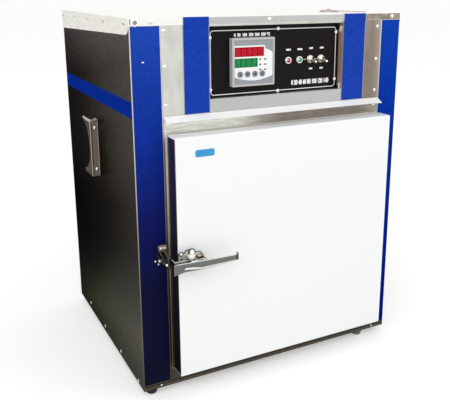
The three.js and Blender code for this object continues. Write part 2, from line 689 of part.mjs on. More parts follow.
// A shelf is a sheet with two rows of long slots.
function addShelf(name, index) {
  const gap = seat + sheet + seat;
  const side = [chamberLeft + gap, chamberRight - gap];
  const base = ledgeTop(index) + seat;
  const height = [base, base + shelf.thickness];
  const through = [base - overrun, base + shelf.thickness + overrun];
  const pitch = (side[1] - side[0] - 2 * shelf.rim + shelf.bar) / shelf.slots;
  const rowPitch = (rackRun[1] - rackRun[0] - 2 * shelf.rim + shelf.bar) / shelf.slotRows;
  const slots = [];
  for (let row = 0; row < shelf.slotRows; row += 1) {
    for (let column = 0; column < shelf.slots; column += 1) {
      const x = side[0] + shelf.rim + column * pitch;
      const y = rackRun[0] + shelf.rim + row * rowPitch;
      slots.push(block([x, x + pitch - shelf.bar], [y, y + rowPitch - shelf.bar], through));
    }
  }
  add(name, cut(block(side, rackRun, height), ...slots), 'steel');
}

function addProbe() {
  const centre = [probeX(), probeY()];
  const roof = chamberTop + sheet + seat + insulation + seat;
  const stem = [chamberTop - probe.depth, roof + probe.headHeight / 2];
  add('temperature_probe', join(
    rod('z', centre, stem, probe.radius, probe.radius, smallSteps),
    rod('z', centre, [roof, roof + probe.headHeight], probe.head),
  ), 'steel');
}

// Two opposite sectors of a ring, as cutting tools for the shutter.
function ventSectors(centre, range, turn) {
  return [0, Math.PI].map((half) => {
    const sweep = THREE.MathUtils.degToRad(ventSlot.sweep);
    const from = turn + half - sweep / 2;
    const sector = new THREE.Shape();
    sector.absarc(0, 0, ventSlot.outer, from, from + sweep, false);
    sector.absarc(0, 0, ventSlot.inner, from + sweep, from, true);
    const tool = prism(sector, 'z', range);
    return tool.translate(centre[0], centre[1], 0);
  });
}

function addVent() {
  const centre = [chamberRight - vent.side, vent.front];
  const base = chamberTop + sheet + seat;
  const flangeBase = cabinet.height + seat;
  const flangeTop = flangeBase + vent.plate;
  const tube = join(
    rod('z', centre, [base, flangeTop], vent.radius),
    rod('z', centre, [flangeBase, flangeTop], vent.flange),
    rod('z', centre, [flangeBase, flangeTop + vent.pinHeight], vent.pin),
  );
  const bore = rod('z', centre, [base - overrun, flangeBase], vent.bore);
  const through = [flangeBase - overrun, flangeTop + overrun];
  const rest = THREE.MathUtils.degToRad(damper.angle);
  const fixedSectors = ventSectors(centre, through, rest + Math.PI / 2);
  add('vent_tube', cut(tube, bore, ...fixedSectors), 'steel');

  const discBase = flangeTop + seat;
  const discTop = discBase + damper.thickness;
  const armOutline = [[0, -damper.armRoot], [damper.arm, -damper.armTip], [damper.arm, damper.armTip],
    [0, damper.armRoot]];
  const shutter = join(
    rod('z', [0, 0], [discBase, discTop], damper.radius),
    rod('z', [0, 0], [discBase, discTop + damper.hubHeight], damper.hub, damper.hub / 2),
    prism(armOutline, 'z', [discBase, discTop]),
    rod('z', [damper.arm, 0], [discBase, discTop], damper.armTip),
  );
  const openings = [
    rod('z', [0, 0], [discBase - overrun, flangeTop + vent.pinHeight + seat], vent.pin + seat),
    ...ventSectors([0, 0], [discBase - overrun, discTop + damper.hubHeight + overrun], Math.PI / 2),
  ];
  const turned = cut(shutter, ...openings).rotateZ(rest);
  add('vent_damper', turned.translate(centre[0], centre[1], 0), 'copperPink');
}

// Door.

function addDoor() {
  const side = [doorLeft, doorRight];
  const height = [door.base, doorTop];
  const linerFace = doorBack - sheet;
  const shellBack = linerFace - seat;
  const inset = (range, by) => [range[0] + by, range[1] - by];
  const face = join(
    block(side, [doorFront + door.edge, shellBack], height),
    block(inset(side, door.edge), [doorFront, shellBack], inset(height, door.edge)),
  );
  const hollow = block(inset(side, sheet + door.edge), [doorFront + sheet, doorBack + overrun],
    inset(height, sheet + door.edge));
  add('door_shell', cut(face, hollow), 'whitePaint');

  const plugX = [chamberLeft + plug.clearance, chamberRight - plug.clearance];
  const plugZ = [chamberBase + plug.clearance, chamberTop - plug.clearance];
  const pan = join(
    block(side, [linerFace, doorBack], height),
    block(plugX, [linerFace, plug.reach], plugZ),
  );
  const panDepth = [linerFace - overrun, plug.reach - sheet];
  const panHollow = block(inset(plugX, sheet), panDepth, inset(plugZ, sheet));
  add('door_liner', cut(pan, panHollow), 'steel');

  const fill = sheet + seat;
  add('door_insulation', join(
    block(inset(side, fill + door.edge), [doorFront + fill, shellBack], inset(height, fill + door.edge)),
    block(inset(plugX, fill), [doorFront + fill, plug.reach - fill], inset(plugZ, fill)),
  ), 'wool');

  const mouthEdges = [[chamberLeft, chamberRight], [chamberBase, chamberTop]];
  const inner = mouthEdges.map((range) => inset(range, -gasket.inside));
  const outer = mouthEdges.map((range) => inset(range, -gasket.outside));
  add('door_gasket', ringProfile(inner, outer, 'y', [doorBack + seat, -seat]), 'silicone');
}

const pinX = doorRight + hinge.pinOffset;
const pinY = -hinge.pinForward;

// Each hinge has a leaf on the post with the outer knuckles, a leaf on the door's edge with the
// middle knuckle, and a headed pin through all three.
function addHinge(name, share) {
  const middle = door.base + share * doorHeight;
  const base = middle - hingeLeaf.height / 2;
  const third = hingeLeaf.height / 3;
  const thirds = [base, base + third, base + 2 * third, base + hingeLeaf.height];
  const t = hingeLeaf.thickness;
  const bore = rod('z', [pinX, pinY], [base - overrun, thirds[3] + overrun], hinge.pin + seat);

  const postFace = [-seat - t, -seat];
  const framePieces = [block([pinX, pinX + hingeLeaf.frameWidth], postFace, [base, thirds[3]])];
  for (const [from, to] of [[thirds[0], thirds[1] - seat], [thirds[2] + seat, thirds[3]]]) {
    framePieces.push(rod('z', [pinX, pinY], [from, to], hinge.knuckle));
    framePieces.push(block([pinX, pinX + hinge.knuckle], [pinY, -seat - t / 2], [from, to]));
  }
  add(`hinge_frame_leaf_${name}`, cut(join(...framePieces), bore), 'steel');

  const knuckleBand = [thirds[1], thirds[2]];
  const edge = [doorRight + seat, doorRight + seat + t];
  const doorPieces = [
    block(edge, [pinY - hingeLeaf.doorWidth + hinge.knuckle, pinY + hinge.knuckle / 2], [base, thirds[3]]),
    rod('z', [pinX, pinY], knuckleBand, hinge.knuckle),
    block([edge[0], pinX], [pinY - t, pinY + t], knuckleBand),
  ];
  add(`hinge_door_leaf_${name}`, cut(join(...doorPieces), bore), 'steel');

  add(`hinge_pin_${name}`, join(
    rod('z', [pinX, pinY], [base, thirds[3] + seat + hinge.headHeight / 2], hinge.pin),
    rod('z', [pinX, pinY], [thirds[3] + seat, thirds[3] + seat + hinge.headHeight], hinge.head),
  ), 'steel');
}

// Latch.

const earTop = latchZ + ear.spread / 2;
const earBase = latchZ - ear.spread / 2;

function addLatchBase() {
  const back = doorFront - seat;
  const faceY = back - latch.baseThickness;
  const left = doorLeft;
  const right = doorLeft + latch.baseWidth;
  const height = [latchZ - latch.baseHeight / 2, latchZ + latch.baseHeight / 2];
  const round = latch.baseHeight / 2;
  const base = new THREE.Shape();
  base.moveTo(left, height[0]);
  base.lineTo(right - round, height[0]);
  base.absarc(right - round, latchZ, round, -Math.PI / 2, Math.PI / 2, false);
  base.lineTo(left, height[1]);
  const lug = new THREE.Shape();
  lug.moveTo(pivotX - ear.radius, faceY + ear.root);
  lug.lineTo(pivotX - ear.radius, pivotY);
  lug.absarc(pivotX, pivotY, ear.radius, Math.PI, 2 * Math.PI, false);
  lug.lineTo(pivotX + ear.radius, faceY + ear.root);
  const pinTop = earTop + ear.thickness;
  const springStart = pivotX + ear.radius + springBarrel.gap;
  add('latch_base', join(
    prism(base, 'y', [faceY, back]),
    prism(lug, 'z', [earBase - ear.thickness, earBase]),
    prism(lug, 'z', [earTop, pinTop]),
    rod('z', [pivotX, pivotY], [earBase - ear.thickness, pinTop], ear.pin),
    rod('z', [pivotX, pivotY], [pinTop - ear.thickness / 2, pinTop + ear.domeHeight], ear.dome, ear.dome / 2),
    rod('x', [faceY - springBarrel.radius / 2, latchZ], [springStart, springStart + springBarrel.length],
      springBarrel.radius),
  ), 'chrome');
}

const rollerX = post.leftWidth - strike.inset - strike.width / 2 + roller.offset;

function addLatchLever() {
  const bottom = earBase + seat;
  const top = earTop - seat;
  const barBack = pivotY - handBar.out;
  const barFace = [barBack - handBar.thickness, barBack];
  const barLeft = pivotX - handBar.left;
  const barRight = pivotX + handBar.right;
  const tall = [latchZ - handBar.tallEnd / 2, latchZ + handBar.tallEnd / 2];
  const slim = [tall[1] + handBar.endRise - handBar.slimEnd, tall[1] + handBar.endRise];
  const taper = handBar.tallEnd;
  const bar = [[barLeft, tall[0]], [barLeft + taper, tall[0] + handBar.endRise], [barRight, slim[0]],
    [barRight, slim[1]], [barLeft, tall[1]]];
  const web = block([pivotX - barrel.webBack, pivotX + barrel.webFront], [barBack - sheet, pivotY],
    [bottom + barrel.webInset, top - barrel.webInset]);
  const armBase = latchZ - catchArm.height / 2;
  const armLeft = rollerX + roller.radius + catchArm.sideGap;
  const armRight = armLeft + catchArm.hook;
  const half = catchArm.thickness / 2;
  const arm = [[armLeft, pivotY - half], [pivotX, pivotY - half], [pivotX, pivotY + half],
    [armRight, pivotY + half], [armRight, pivotY + catchArm.rise], [armLeft, pivotY + catchArm.rise]];
  const lip = block([barRight - handBar.thickness, barRight], [barFace[0] - handBar.lip, barFace[1]],
    [slim[0], slim[1] + handBar.lip]);
  const pieces = join(
    rod('z', [pivotX, pivotY], [bottom, top], barrel.radius),
    web,
    prism(bar, 'y', barFace),
    prism(arm, 'z', [armBase, armBase + catchArm.height]),
    lip,
  );
  const bore = rod('z', [pivotX, pivotY], [bottom - overrun, top + overrun], ear.pin + ear.bore);
  add('latch_lever', cut(pieces, bore), 'chrome');
}

// The strike stands on the left post: a plate, two arms and the round pin that the catch lies beside.
function addLatchStrike() {
  const right = post.leftWidth - strike.inset;
  const left = right - strike.width;
  const plateFace = -seat - strike.thickness;
  const height = [latchZ - strike.height / 2, latchZ + strike.height / 2];
  const rollerEnds = [latchZ - roller.length / 2, latchZ + roller.length / 2];
  const tipY = -roller.front;
  const armX = [rollerX - strike.armWidth / 2, rollerX + strike.armWidth / 2];
  const rollerZ = rollerEnds[1];
  const upper = [[plateFace + seat, rollerZ + strike.fall], [tipY, rollerZ + strike.armHeight / 2],
    [tipY, rollerZ - strike.armHeight / 2], [plateFace + seat, rollerZ + strike.fall - strike.armHeight]];
  const lowerZ = rollerEnds[0];
  const lower = [[plateFace + seat, lowerZ], [tipY, lowerZ + strike.armHeight / 2],
    [tipY, lowerZ - strike.armHeight / 2], [plateFace + seat, lowerZ - strike.armHeight]];
  add('latch_strike', join(
    block([left, right], [plateFace, -seat], height),
    prism(upper, 'x', armX),
    prism(lower, 'x', armX),
    rod('z', [rollerX, tipY], [rollerEnds[0] - roller.gap, rollerEnds[1] + roller.gap], roller.radius),
  ), 'chrome');
}

addFeet();
addBaseTray();
addSidePanels();
addBackPanel();
addCableGland();
addCornerPosts();
addTopCover();
addFrontFrame();
addControlFascia();
addAccentStrips();
addDripRail();
addSideHandles();
addControlPlate();
addController();
addLamp('red', signalShares.red, 'redLens');
addLamp('green', signalShares.green, 'greenLens');
addToggle('mains', signalShares.mains);
addToggle('fan', signalShares.fan);
addChamberLiner();
addInsulation();
addHeater();
addFan();
addFanMotor();
addFanBaffle();
addShelfRacks();
addShelf('shelf_lower', shelfLedges.lower);
addShelf('shelf_upper', shelfLedges.upper);
addProbe();
addVent();
addDoor();
addHinge('lower', hingeShares.lower);
addHinge('upper', hingeShares.upper);
addLatchBase();
addLatchLever();
addLatchStrike();

// The origin goes to the middle of the underside.
const bounds = new THREE.Box3().setFromObject(oven, true);
const centre = bounds.getCenter(new THREE.Vector3());
oven.position.set(-centre.x, -centre.y, -bounds.min.z);

export default oven;
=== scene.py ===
# %% [markdown]
# # A dry heat sterilizer, dressed for the camera
# The real object is a bench hot air oven: folded steel sheets screwed over a frame, one thick white
# door with a chrome lever latch, and a recessed black plate that carries a digital controller, two
# lamps and two toggle switches. The solids that move and collide are already made and can't be
# touched here, so this script puts finer pieces round them, each one riding on the body it belongs to.

# %% Load the frame
import json
import math

import bmesh
import bpy
from mathutils import Matrix, Vector


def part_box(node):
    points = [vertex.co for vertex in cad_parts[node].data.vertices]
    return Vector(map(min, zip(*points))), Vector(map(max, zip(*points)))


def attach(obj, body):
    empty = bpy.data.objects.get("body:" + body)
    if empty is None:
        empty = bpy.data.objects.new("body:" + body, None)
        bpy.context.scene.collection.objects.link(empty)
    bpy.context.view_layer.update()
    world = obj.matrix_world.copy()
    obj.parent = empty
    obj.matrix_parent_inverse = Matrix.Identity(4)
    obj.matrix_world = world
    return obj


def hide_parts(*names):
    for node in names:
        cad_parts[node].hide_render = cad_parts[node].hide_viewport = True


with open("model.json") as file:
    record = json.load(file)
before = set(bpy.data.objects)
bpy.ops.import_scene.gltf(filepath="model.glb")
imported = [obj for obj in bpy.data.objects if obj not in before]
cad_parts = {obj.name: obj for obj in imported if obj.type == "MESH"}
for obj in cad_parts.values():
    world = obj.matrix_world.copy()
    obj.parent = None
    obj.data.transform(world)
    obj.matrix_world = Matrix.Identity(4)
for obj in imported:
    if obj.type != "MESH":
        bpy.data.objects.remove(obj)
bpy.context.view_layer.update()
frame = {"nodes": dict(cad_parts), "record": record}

# %% [markdown]
# A maker measures this oven from the outside of its left panel, from the front of its corner posts
# and from the underside of its cabinet, in millimetres. All the shapes below are drawn in those
# numbers, and one matrix carries them to the metres of the frame. The three planes are read from the
# solids themselves, so nothing has to be fitted by eye.

# %% The workshop's measures
MM = 0.001
LEFT_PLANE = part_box("side_panel_left")[0].x
FRONT_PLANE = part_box("corner_post_left")[0].y
BASE_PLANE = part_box("side_panel_left")[0].z
TO_FRAME = Matrix.Translation((LEFT_PLANE, FRONT_PLANE, BASE_PLANE)) @ Matrix.Scale(MM, 4)
TO_WORKSHOP = TO_FRAME.inverted()


def span(node):
    """The corners of a solid in the workshop's millimetres."""
    return [TO_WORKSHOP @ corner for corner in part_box(node)]


def round_part(node):
    """The x and z of a solid's middle, its radius and its depth from front to back."""
    low, high = span(node)
    return (low.x + high.x) / 2, (low.z + high.z) / 2, (high.x - low.x) / 2, high.y - low.y


print("door in millimetres", [tuple(round(c, 1) for c in corner) for corner in span("door_shell")])

# %% [markdown]
# ## Camera
# The photograph was taken with a short telephoto from the left, a little above the oven. The position,
# the direction and the lens were solved from the straight edges of the cabinet, and the small shift is
# the crop of the picture.

# %% Camera
PHOTO_WIDTH = 450
FOCAL_PIXELS = 663.5
PRINCIPAL = (246.8, 160.7)
PHOTO_CENTRE = (225, 200)
CAMERA_PLACE = (-0.6845, -1.3982, 0.8312)
CAMERA_DEGREES = (90 - 14.73, -0.06, -27.64)
camera_data = bpy.data.cameras.new("photo_camera")
camera_data.sensor_width = 36
camera_data.lens = FOCAL_PIXELS * camera_data.sensor_width / PHOTO_WIDTH
camera_data.shift_x = (PHOTO_CENTRE[0] - PRINCIPAL[0]) / PHOTO_WIDTH
camera_data.shift_y = (PRINCIPAL[1] - PHOTO_CENTRE[1]) / PHOTO_WIDTH
camera = bpy.data.objects.new("photo_camera", camera_data)
camera.location = CAMERA_PLACE
camera.rotation_euler = [math.radians(angle) for angle in CAMERA_DEGREES]
bpy.context.scene.collection.objects.link(camera)
bpy.context.scene.camera = camera
print("lens", round(camera_data.lens, 2), "mm")

# %% [markdown]
# ## Studio
# A plain pale floor, one large soft lamp from the front left and a weaker one from the right. The
# world gives a soft even light; what the camera and the metal see of it is plain white, and that
# brightness isn't added to the light on the oven.

# %% Floor, lamps and world
FLOOR_RADIUS = 60.0
WORLD_LIGHT = 0.68
FLOOR_GLOW = 0.35
LAMP_AIM = Vector((0, 0, 0.35))


def lamp(name, place, size, watts):
    data = bpy.data.lights.new(name, "AREA")
    data.size = size
    data.energy = watts
    light = bpy.data.objects.new(name, data)
    light.location = place
    light.rotation_euler = (LAMP_AIM - Vector(place)).to_track_quat("-Z", "Y").to_euler()
    bpy.context.scene.collection.objects.link(light)


lamp("key_lamp", (-2.4, -3.6, 3.2), 4.0, 80)
lamp("fill_lamp", (3.2, -2.8, 2.0), 3.2, 30)

floor_bm = bmesh.new()
bmesh.ops.create_circle(floor_bm, cap_ends=True, cap_tris=False, segments=64, radius=FLOOR_RADIUS)
floor_mesh = bpy.data.meshes.new("floor")
floor_bm.to_mesh(floor_mesh)
floor_bm.free()
floor = bpy.data.objects.new("floor", floor_mesh)
bpy.context.scene.collection.objects.link(floor)
bpy.context.scene.view_settings.view_transform = "Standard"
print("floor radius", FLOOR_RADIUS)

# %% [markdown]
# ## Materials
# Colours are written as the sRGB hex values that one reads off a screen, and one function turns them
# to the linear values that the renderer mixes. One more small function adds a node with its settings
# and its links. Nearly every finish here is a base tone, sometimes a slow drift of that tone from one
# side to the other, which paints light, shade and reflection into it, and a fine grain whose size comes
# from how the surface was made.

# %% Colour and node helpers
def linear(value):
    """An sRGB hex value as linear red, green, blue and alpha."""
    channels = [(value >> shift & 255) / 255 for shift in (16, 8, 0)]
    return [c / 12.92 if c <= 0.04045 else ((c + 0.055) / 1.055) ** 2.4 for c in channels] + [1]


def add_node(tree, kind, settings=(), links=()):
    node = tree.nodes.new(kind)
    for key, value in dict(settings).items():
        if isinstance(key, int) or key in node.inputs:
            node.inputs[key].default_value = value
        else:
            setattr(node, key, value)
    for socket, source in dict(links).items():
        tree.links.new(source, node.inputs[socket])
    return node


def ramp(tree, source, stops):
    """The output of a colour ramp with (position, colour) stops that follows a value."""
    node = add_node(tree, "ShaderNodeValToRGB", (), {0: source})
    elements = node.color_ramp.elements
    while len(elements) < len(stops):
        elements.new(0.5)
    for element, (position, value) in zip(elements, stops):
        element.position = position
        element.color = linear(value)
    return node.outputs[0]


def share(tree, source, direction, low, high):
    """How far a point or a normal lies, from 0 to 1, between two distances along a direction."""
    dot = add_node(tree, "ShaderNodeVectorMath", {"operation": "DOT_PRODUCT", 1: direction}, {0: source})
    part = add_node(tree, "ShaderNodeMapRange", {"From Min": low, "From Max": high}, {0: dot.outputs["Value"]})
    return part.outputs[0]


def new_finish(name):
    """A material with its tree, its shader's inputs and the outputs that give place and normal."""
    material = bpy.data.materials.new(name)
    material.use_nodes = True
    tree = material.node_tree
    print("finish", name)
    return material, tree, tree.nodes["Principled BSDF"].inputs, add_node(tree, "ShaderNodeTexCoord").outputs


print("mid grey as the renderer mixes it", round(linear(0x808080)[0], 3))

# %% [markdown]
# One function makes every painted, moulded, brushed or polished surface. A picture could be painted
# for each, but a noise that is stretched along the brushing does the same at any size and needs no
# file. The noise darkens the tone a little and lifts the surface a little, as real scratches do.

# %% A surface with a grain
UPWARDS, ACROSS, BACKWARDS = (0, 0, 1), (1, 0, 0), (0, 1, 0)
GRAIN_TONES = [(0.3, 0xB4B4B4), (0.7, 0xFFFFFF)]
STAIN_TONES = [(0.32, 0x8A847C), (0.62, 0xFFFFFF)]
RELIEF = 0.3


def darken(tree, base, source, stops, depth):
    """Multiplies a colour by a ramp that follows another value."""
    mixed = add_node(
        tree, "ShaderNodeMix", {"data_type": "RGBA", "blend_type": "MULTIPLY", 0: depth},
        {7: ramp(tree, source, stops)},
    )
    if isinstance(base, list):
        mixed.inputs[6].default_value = base
    else:
        tree.links.new(base, mixed.inputs[6])
    return mixed.outputs[2]


def finish(
    name, tones, metallic, roughness, grain, depth, bump=0.0, along=None, cloud=None, glance=None, level=0.5
):
    """A surface: tones is one hex value, or stops along a direction; grain is in millimetres.

    depth is how dark the grain is and bump how deep it lies. along is (direction, low, high), the stretch
    in metres over which the stops run. cloud is (x, y, z, depth), the size in millimetres of broad stains
    and how dark they are. glance is (direction, low, high, near, far), a drift of the tint with which the
    surface mirrors at a flat angle.
    """
    material, tree, inputs, place = new_finish(name)

    def specks(size, detail):
        size = size if isinstance(size, tuple) else (size, size, size)
        scale = [1 / (length * MM) for length in size]
        spread = add_node(tree, "ShaderNodeMapping", {"Scale": scale}, {"Vector": place["Object"]})
        settings = {"Scale": 1.0, "Detail": detail}
        return add_node(tree, "ShaderNodeTexNoise", settings, {"Vector": spread.outputs[0]}).outputs[0]

    noise = specks(grain, 3.0)
    base = ramp(tree, share(tree, place["Object"], *along), tones) if along else linear(tones)
    base = darken(tree, base, noise, GRAIN_TONES, depth)
    if cloud:
        base = darken(tree, base, specks(cloud[:3], 2.0), STAIN_TONES, cloud[3])
    tree.links.new(base, inputs["Base Color"])
    if glance:
        tint = ramp(tree, share(tree, place["Object"], *glance[:3]), [(0.0, glance[3]), (1.0, glance[4])])
        inputs["Specular Tint"].default_value = linear(glance[4])
        tree.links.new(tint, inputs["Specular Tint"])
    if bump:
        settings = {"Strength": RELIEF, "Distance": bump * MM}
        relief = add_node(tree, "ShaderNodeBump", settings, {"Height": noise})
        tree.links.new(relief.outputs[0], inputs["Normal"])
    inputs["Metallic"].default_value = metallic
    inputs["Roughness"].default_value = roughness
    inputs["Specular IOR Level"].default_value = level
    return material


print("relief strength", RELIEF)

# %% [markdown]
# The world and the floor both need to be white behind the oven without lighting it more. A Light Path
# node tells a ray that comes from the camera, a mirror or glass from one that only carries light.

# %% World and floor materials
world = bpy.data.worlds.new("studio")
bpy.context.scene.world = world
world.use_nodes = True
sky = world.node_tree
sky.nodes.clear()
path = add_node(sky, "ShaderNodeLightPath").outputs
seen = path["Is Camera Ray"]
for ray in ("Is Glossy Ray", "Is Transmission Ray"):
    seen = add_node(sky, "ShaderNodeMath", {"operation": "MAXIMUM"}, {0: seen, 1: path[ray]}).outputs[0]
lights = [
    add_node(sky, "ShaderNodeBackground", {"Color": (1, 1, 1, 1), "Strength": strength}).outputs[0]
    for strength in (WORLD_LIGHT, 1.0)
]
mixed_sky = add_node(sky, "ShaderNodeMixShader", (), {0: seen, 1: lights[0], 2: lights[1]})
add_node(sky, "ShaderNodeOutputWorld", (), {"Surface": mixed_sky.outputs[0]})

floor_finish, floor_tree, floor_inputs, _ = new_finish("pale_floor")
for key, value in {
    "Base Color": linear(0xF3F3F1), "Roughness": 0.9, "Specular IOR Level": 0.1, "Emission Color": (1, 1, 1, 1),
}.items():
    floor_inputs[key].default_value = value
floor_path = add_node(floor_tree, "ShaderNodeLightPath").outputs["Is Camera Ray"]
glow = add_node(floor_tree, "ShaderNodeMath", {"operation": "MULTIPLY", 1: FLOOR_GLOW}, {0: floor_path})
floor_tree.links.new(glow.outputs[0], floor_inputs["Emission Strength"])
floor_mesh.materials.append(floor_finish)
print("world light", WORLD_LIGHT, "floor glow", FLOOR_GLOW)

# %% [markdown]
# The side and back panels are stainless sheet polished to a mirror. They mirror a dim room: brown at the
# top, almost black in the middle and lighter again near the floor. A mirror in a white studio would lose
# that, so that reflection is painted into the tone of the sheet, which drifts with height, and the tint it
# mirrors at a flat angle is painted darker towards the back, a painted shade. The polishing lines run upright.

# %% Polished sheet with a painted reflection
room_reflection_steel = finish(
    "polished_stainless_painted_reflection",
    [(0.0, 0x686A62), (0.12, 0x85867B), (0.24, 0x585953), (0.3, 0x41423E), (0.36, 0x2E2E2C),
     (0.47, 0x2F2E2D), (0.6, 0x5A5652), (0.72, 0x65625F), (0.85, 0x696564), (1.0, 0x9E9898)],
    1.0, 0.3, (0.9, 0.9, 60), 0.5, 0.02, ((0, 0.2, 1), 0.0, 0.78), (9, 9, 3.5, 0.45),
    (BACKWARDS, -0.22, 0.29, 0xBBB9B7, 0x545250),
)

# %% [markdown]
# The fascia, the drip rail and the frame round the door are brushed stainless. Steel takes its colour from
# what stands before it, and that reflection is painted into the tone: the left half of the fascia is pale and
# cool, and the right half shows a warm brown. The painted drift runs from left to right here, and upwards on
# the frame, the posts and the tray, which are painted darker towards the bottom, a painted shade and
# reflection.

# %% Brushed stainless
FRONT_RUN = (ACROSS, -0.25, 0.26)
POST_RUN = (UPWARDS, 0.02, 0.76)
DOOR_RUN = (UPWARDS, 0.05, 0.56)
fascia_steel = finish(
    "brushed_stainless_fascia",
    [(0.0, 0xEAEBE5), (0.2, 0xE2E3DC), (0.8, 0xCFCDC6), (0.88, 0x978A80), (0.96, 0x8F8379), (0.99, 0xA59A8E),
     (1.0, 0xC0B6A8)],
    1.0, 0.34, (0.7, 0.7, 45), 0.2, 0.02, FRONT_RUN, (20, 20, 45, 0.16),
)
rail_steel = finish(
    "brushed_stainless_rail",
    [(0.0, 0xFFFFF6), (0.28, 0xFFFFF4), (0.33, 0xF0EEE4), (0.42, 0xB9B4AC), (0.52, 0x9A928A), (0.88, 0x968E85),
     (0.95, 0xA8A196), (1.0, 0xB8B2A6)],
    1.0, 0.3, (40, 0.9, 0.9), 0.55, 0.02, FRONT_RUN, (22, 8, 3, 0.3),
)
frame_steel = finish(
    "brushed_stainless_door_frame",
    [(0.0, 0x4E4A40), (0.08, 0x423D35), (0.3, 0x3C3630), (0.6, 0x80695B), (0.93, 0xB09280), (0.975, 0xEFEAE0),
     (1.0, 0xF4F0E8)],
    0.8, 0.35, (0.7, 0.7, 50), 0.3, 0.02, (UPWARDS, 0.03, 0.57),
)
post_steel = finish(
    "corner_post_steel", [(0.0, 0x5E5746), (0.35, 0x8E877A), (0.6, 0xD6D2C8), (1.0, 0xF0EEE6)],
    0.8, 0.35, (0.7, 0.7, 50), 0.3, 0.02, POST_RUN,
)
tray_steel = finish(
    "stainless_tray",
    [(0.0, 0x4A4239), (0.2, 0x665D54), (0.45, 0x686156), (0.6, 0x3E3C35), (0.78, 0x4A4840), (0.9, 0x8E8C7C)],
    0.9, 0.35, (40, 0.8, 0.8), 0.4, 0.02, (UPWARDS, 0.0145, 0.0285),
)
# The visor's upward faces are painted white: a painted highlight.
visor_painted_light = finish("visor_painted_highlight", 0xFFFFFF, 0.0, 0.5, (60, 0.8, 0.8), 0.12, 0.02)
window_steel = finish("pale_window_return", 0xC8A891, 0.4, 0.45, (0.8, 0.8, 30), 0.4, 0.02)
steel = finish("brushed_stainless_plain", 0xC6C8C3, 1.0, 0.36, (50, 0.8, 0.8), 0.3, 0.02)
band_grey = finish("satin_grey_band", 0xC0C2C1, 0.6, 0.45, (40, 0.8, 0.8), 0.1, 0.01)
cover_steel = finish("satin_stainless_cover", 0xFAFAF5, 0.85, 0.42, (0.8, 50, 0.8), 0.08, 0.02)
# The cover's side skirts are painted paler than its top: painted light.
skirt_side_painted_light = finish(
    "satin_skirt_painted_light", 0xFFFDF6, 0.0, 0.45, (0.8, 50, 0.8), 0.08, 0.02, cloud=(40, 40, 12, 0.12)
)
# The right end of the front skirt is a mottled warm brown: a painted reflection, like the fascia's right half.
skirt_end_reflection = finish("skirt_end_painted_reflection", 0xAEA393, 0.8, 0.4, (0.8, 0.8, 30), 0.35, 0.02, cloud=(14, 14, 20, 0.6))

# %% [markdown]
# Chrome plating is a mirror, and a mirror in an empty white studio has no shape. On the real latch the
# faces that look up are bright, the faces that look at the room are a greenish grey, and those turned
# away are nearly black. That light, shade and reflection are therefore painted into the base tone, which
# follows the direction in which the metal faces, read from the piece's own normals. A picture of a room
# could be wrapped round the scene instead, but it would light everything else as well.

# %% A plated surface
BRIGHT_SIDE = Vector((-0.3, -0.55, 0.78)).normalized()
LEFTWARDS = Vector((-0.85, -0.35, 0.38)).normalized()
HAZE_SCALE = 90.0


def plated(name, stops, roughness=0.12, metallic=1.0, rim=0xFFFFFF, level=0.5, toward=BRIGHT_SIDE):
    """A surface whose tone, painted light and shade, follows how far it faces a direction; rim tints what it
    mirrors at its edge.
    """
    material, tree, inputs, place = new_finish(name)
    tree.links.new(ramp(tree, share(tree, place["Normal"], toward, -1.0, 1.0), stops), inputs["Base Color"])
    cloud = add_node(
        tree, "ShaderNodeTexNoise", {"Scale": HAZE_SCALE, "Detail": 2.0}, {"Vector": place["Object"]}
    )
    haze = add_node(
        tree, "ShaderNodeMapRange",
        {"From Min": 0.3, "From Max": 0.7, "To Min": roughness * 0.6, "To Max": roughness * 1.6},
        {0: cloud.outputs[0]},
    )
    tree.links.new(haze.outputs[0], inputs["Roughness"])
    inputs["Metallic"].default_value = metallic
    inputs["Specular Tint"].default_value = linear(rim)
    inputs["Specular IOR Level"].default_value = level
    return material


print("bright side", [round(c, 2) for c in BRIGHT_SIDE])

# %% [markdown]
# Each plated part has its own row of tones, from turned away to facing the bright side, so each carries
# its own painted light and shade. The casting of the latch is soft and worn, its lever is cleaner, the strike
# lies in the door's shade and is painted darker, and the switches are nickel. One shared chrome would be
# simpler, but at this size the parts would run into one grey spot. The lamps' lenses take a painted
# highlight in the same way, on the half that looks to the left.

# %% Chrome, nickel and lenses
chrome = plated(
    "chrome_lever", [(0.0, 0x2A2B2A), (0.5, 0x4A4C4A), (0.775, 0x7C807B), (0.86, 0xA8ACA8), (0.94, 0xF4F6F4)]
)
cast_chrome = plated(
    "chrome_casting", [(0.0, 0x2A2A26), (0.3, 0x4C4C46), (0.55, 0x8E8D82), (0.75, 0xD6D6C6), (0.9, 0xFBFBF6)],
    0.35, 0.3,
)
# The spring housing's dark and bright bands are a painted reflection of the room.
banded_chrome = plated(
    "chrome_painted_room_reflection",
    [(0.0, 0x101210), (0.5, 0x16201A), (0.6, 0xD2CDB6), (0.74, 0xEDE8D8), (0.8, 0x0E0E0E), (0.9, 0x181412),
     (0.95, 0xB9A793), (1.0, 0xE2DACC)],
)
shadow_chrome = plated(
    "chrome_in_deep_shadow",
    [(0.0, 0x060608), (0.5, 0x101114), (0.72, 0x22211F), (0.86, 0x4A4440), (1.0, 0x8A8078)], 0.3, 0.4, 0xA6A4A2,
)
hook_chrome = plated(
    "chrome_hook", [(0.0, 0x08080A), (0.5, 0x121316), (0.72, 0x1E2024), (0.84, 0x8A8C88), (0.9, 0xEFEFE8)],
    0.3, 0.5, 0xA6A4A2,
)
# The lever's white streak is a painted highlight on a thin raised strip.
blade_highlight_chrome = plated(
    "chrome_painted_highlight", [(0.0, 0x6A5A52), (0.4, 0xA89A90), (0.6, 0xF4F2F0), (1.0, 0xFFFFFF)], 0.3, 0.3
)
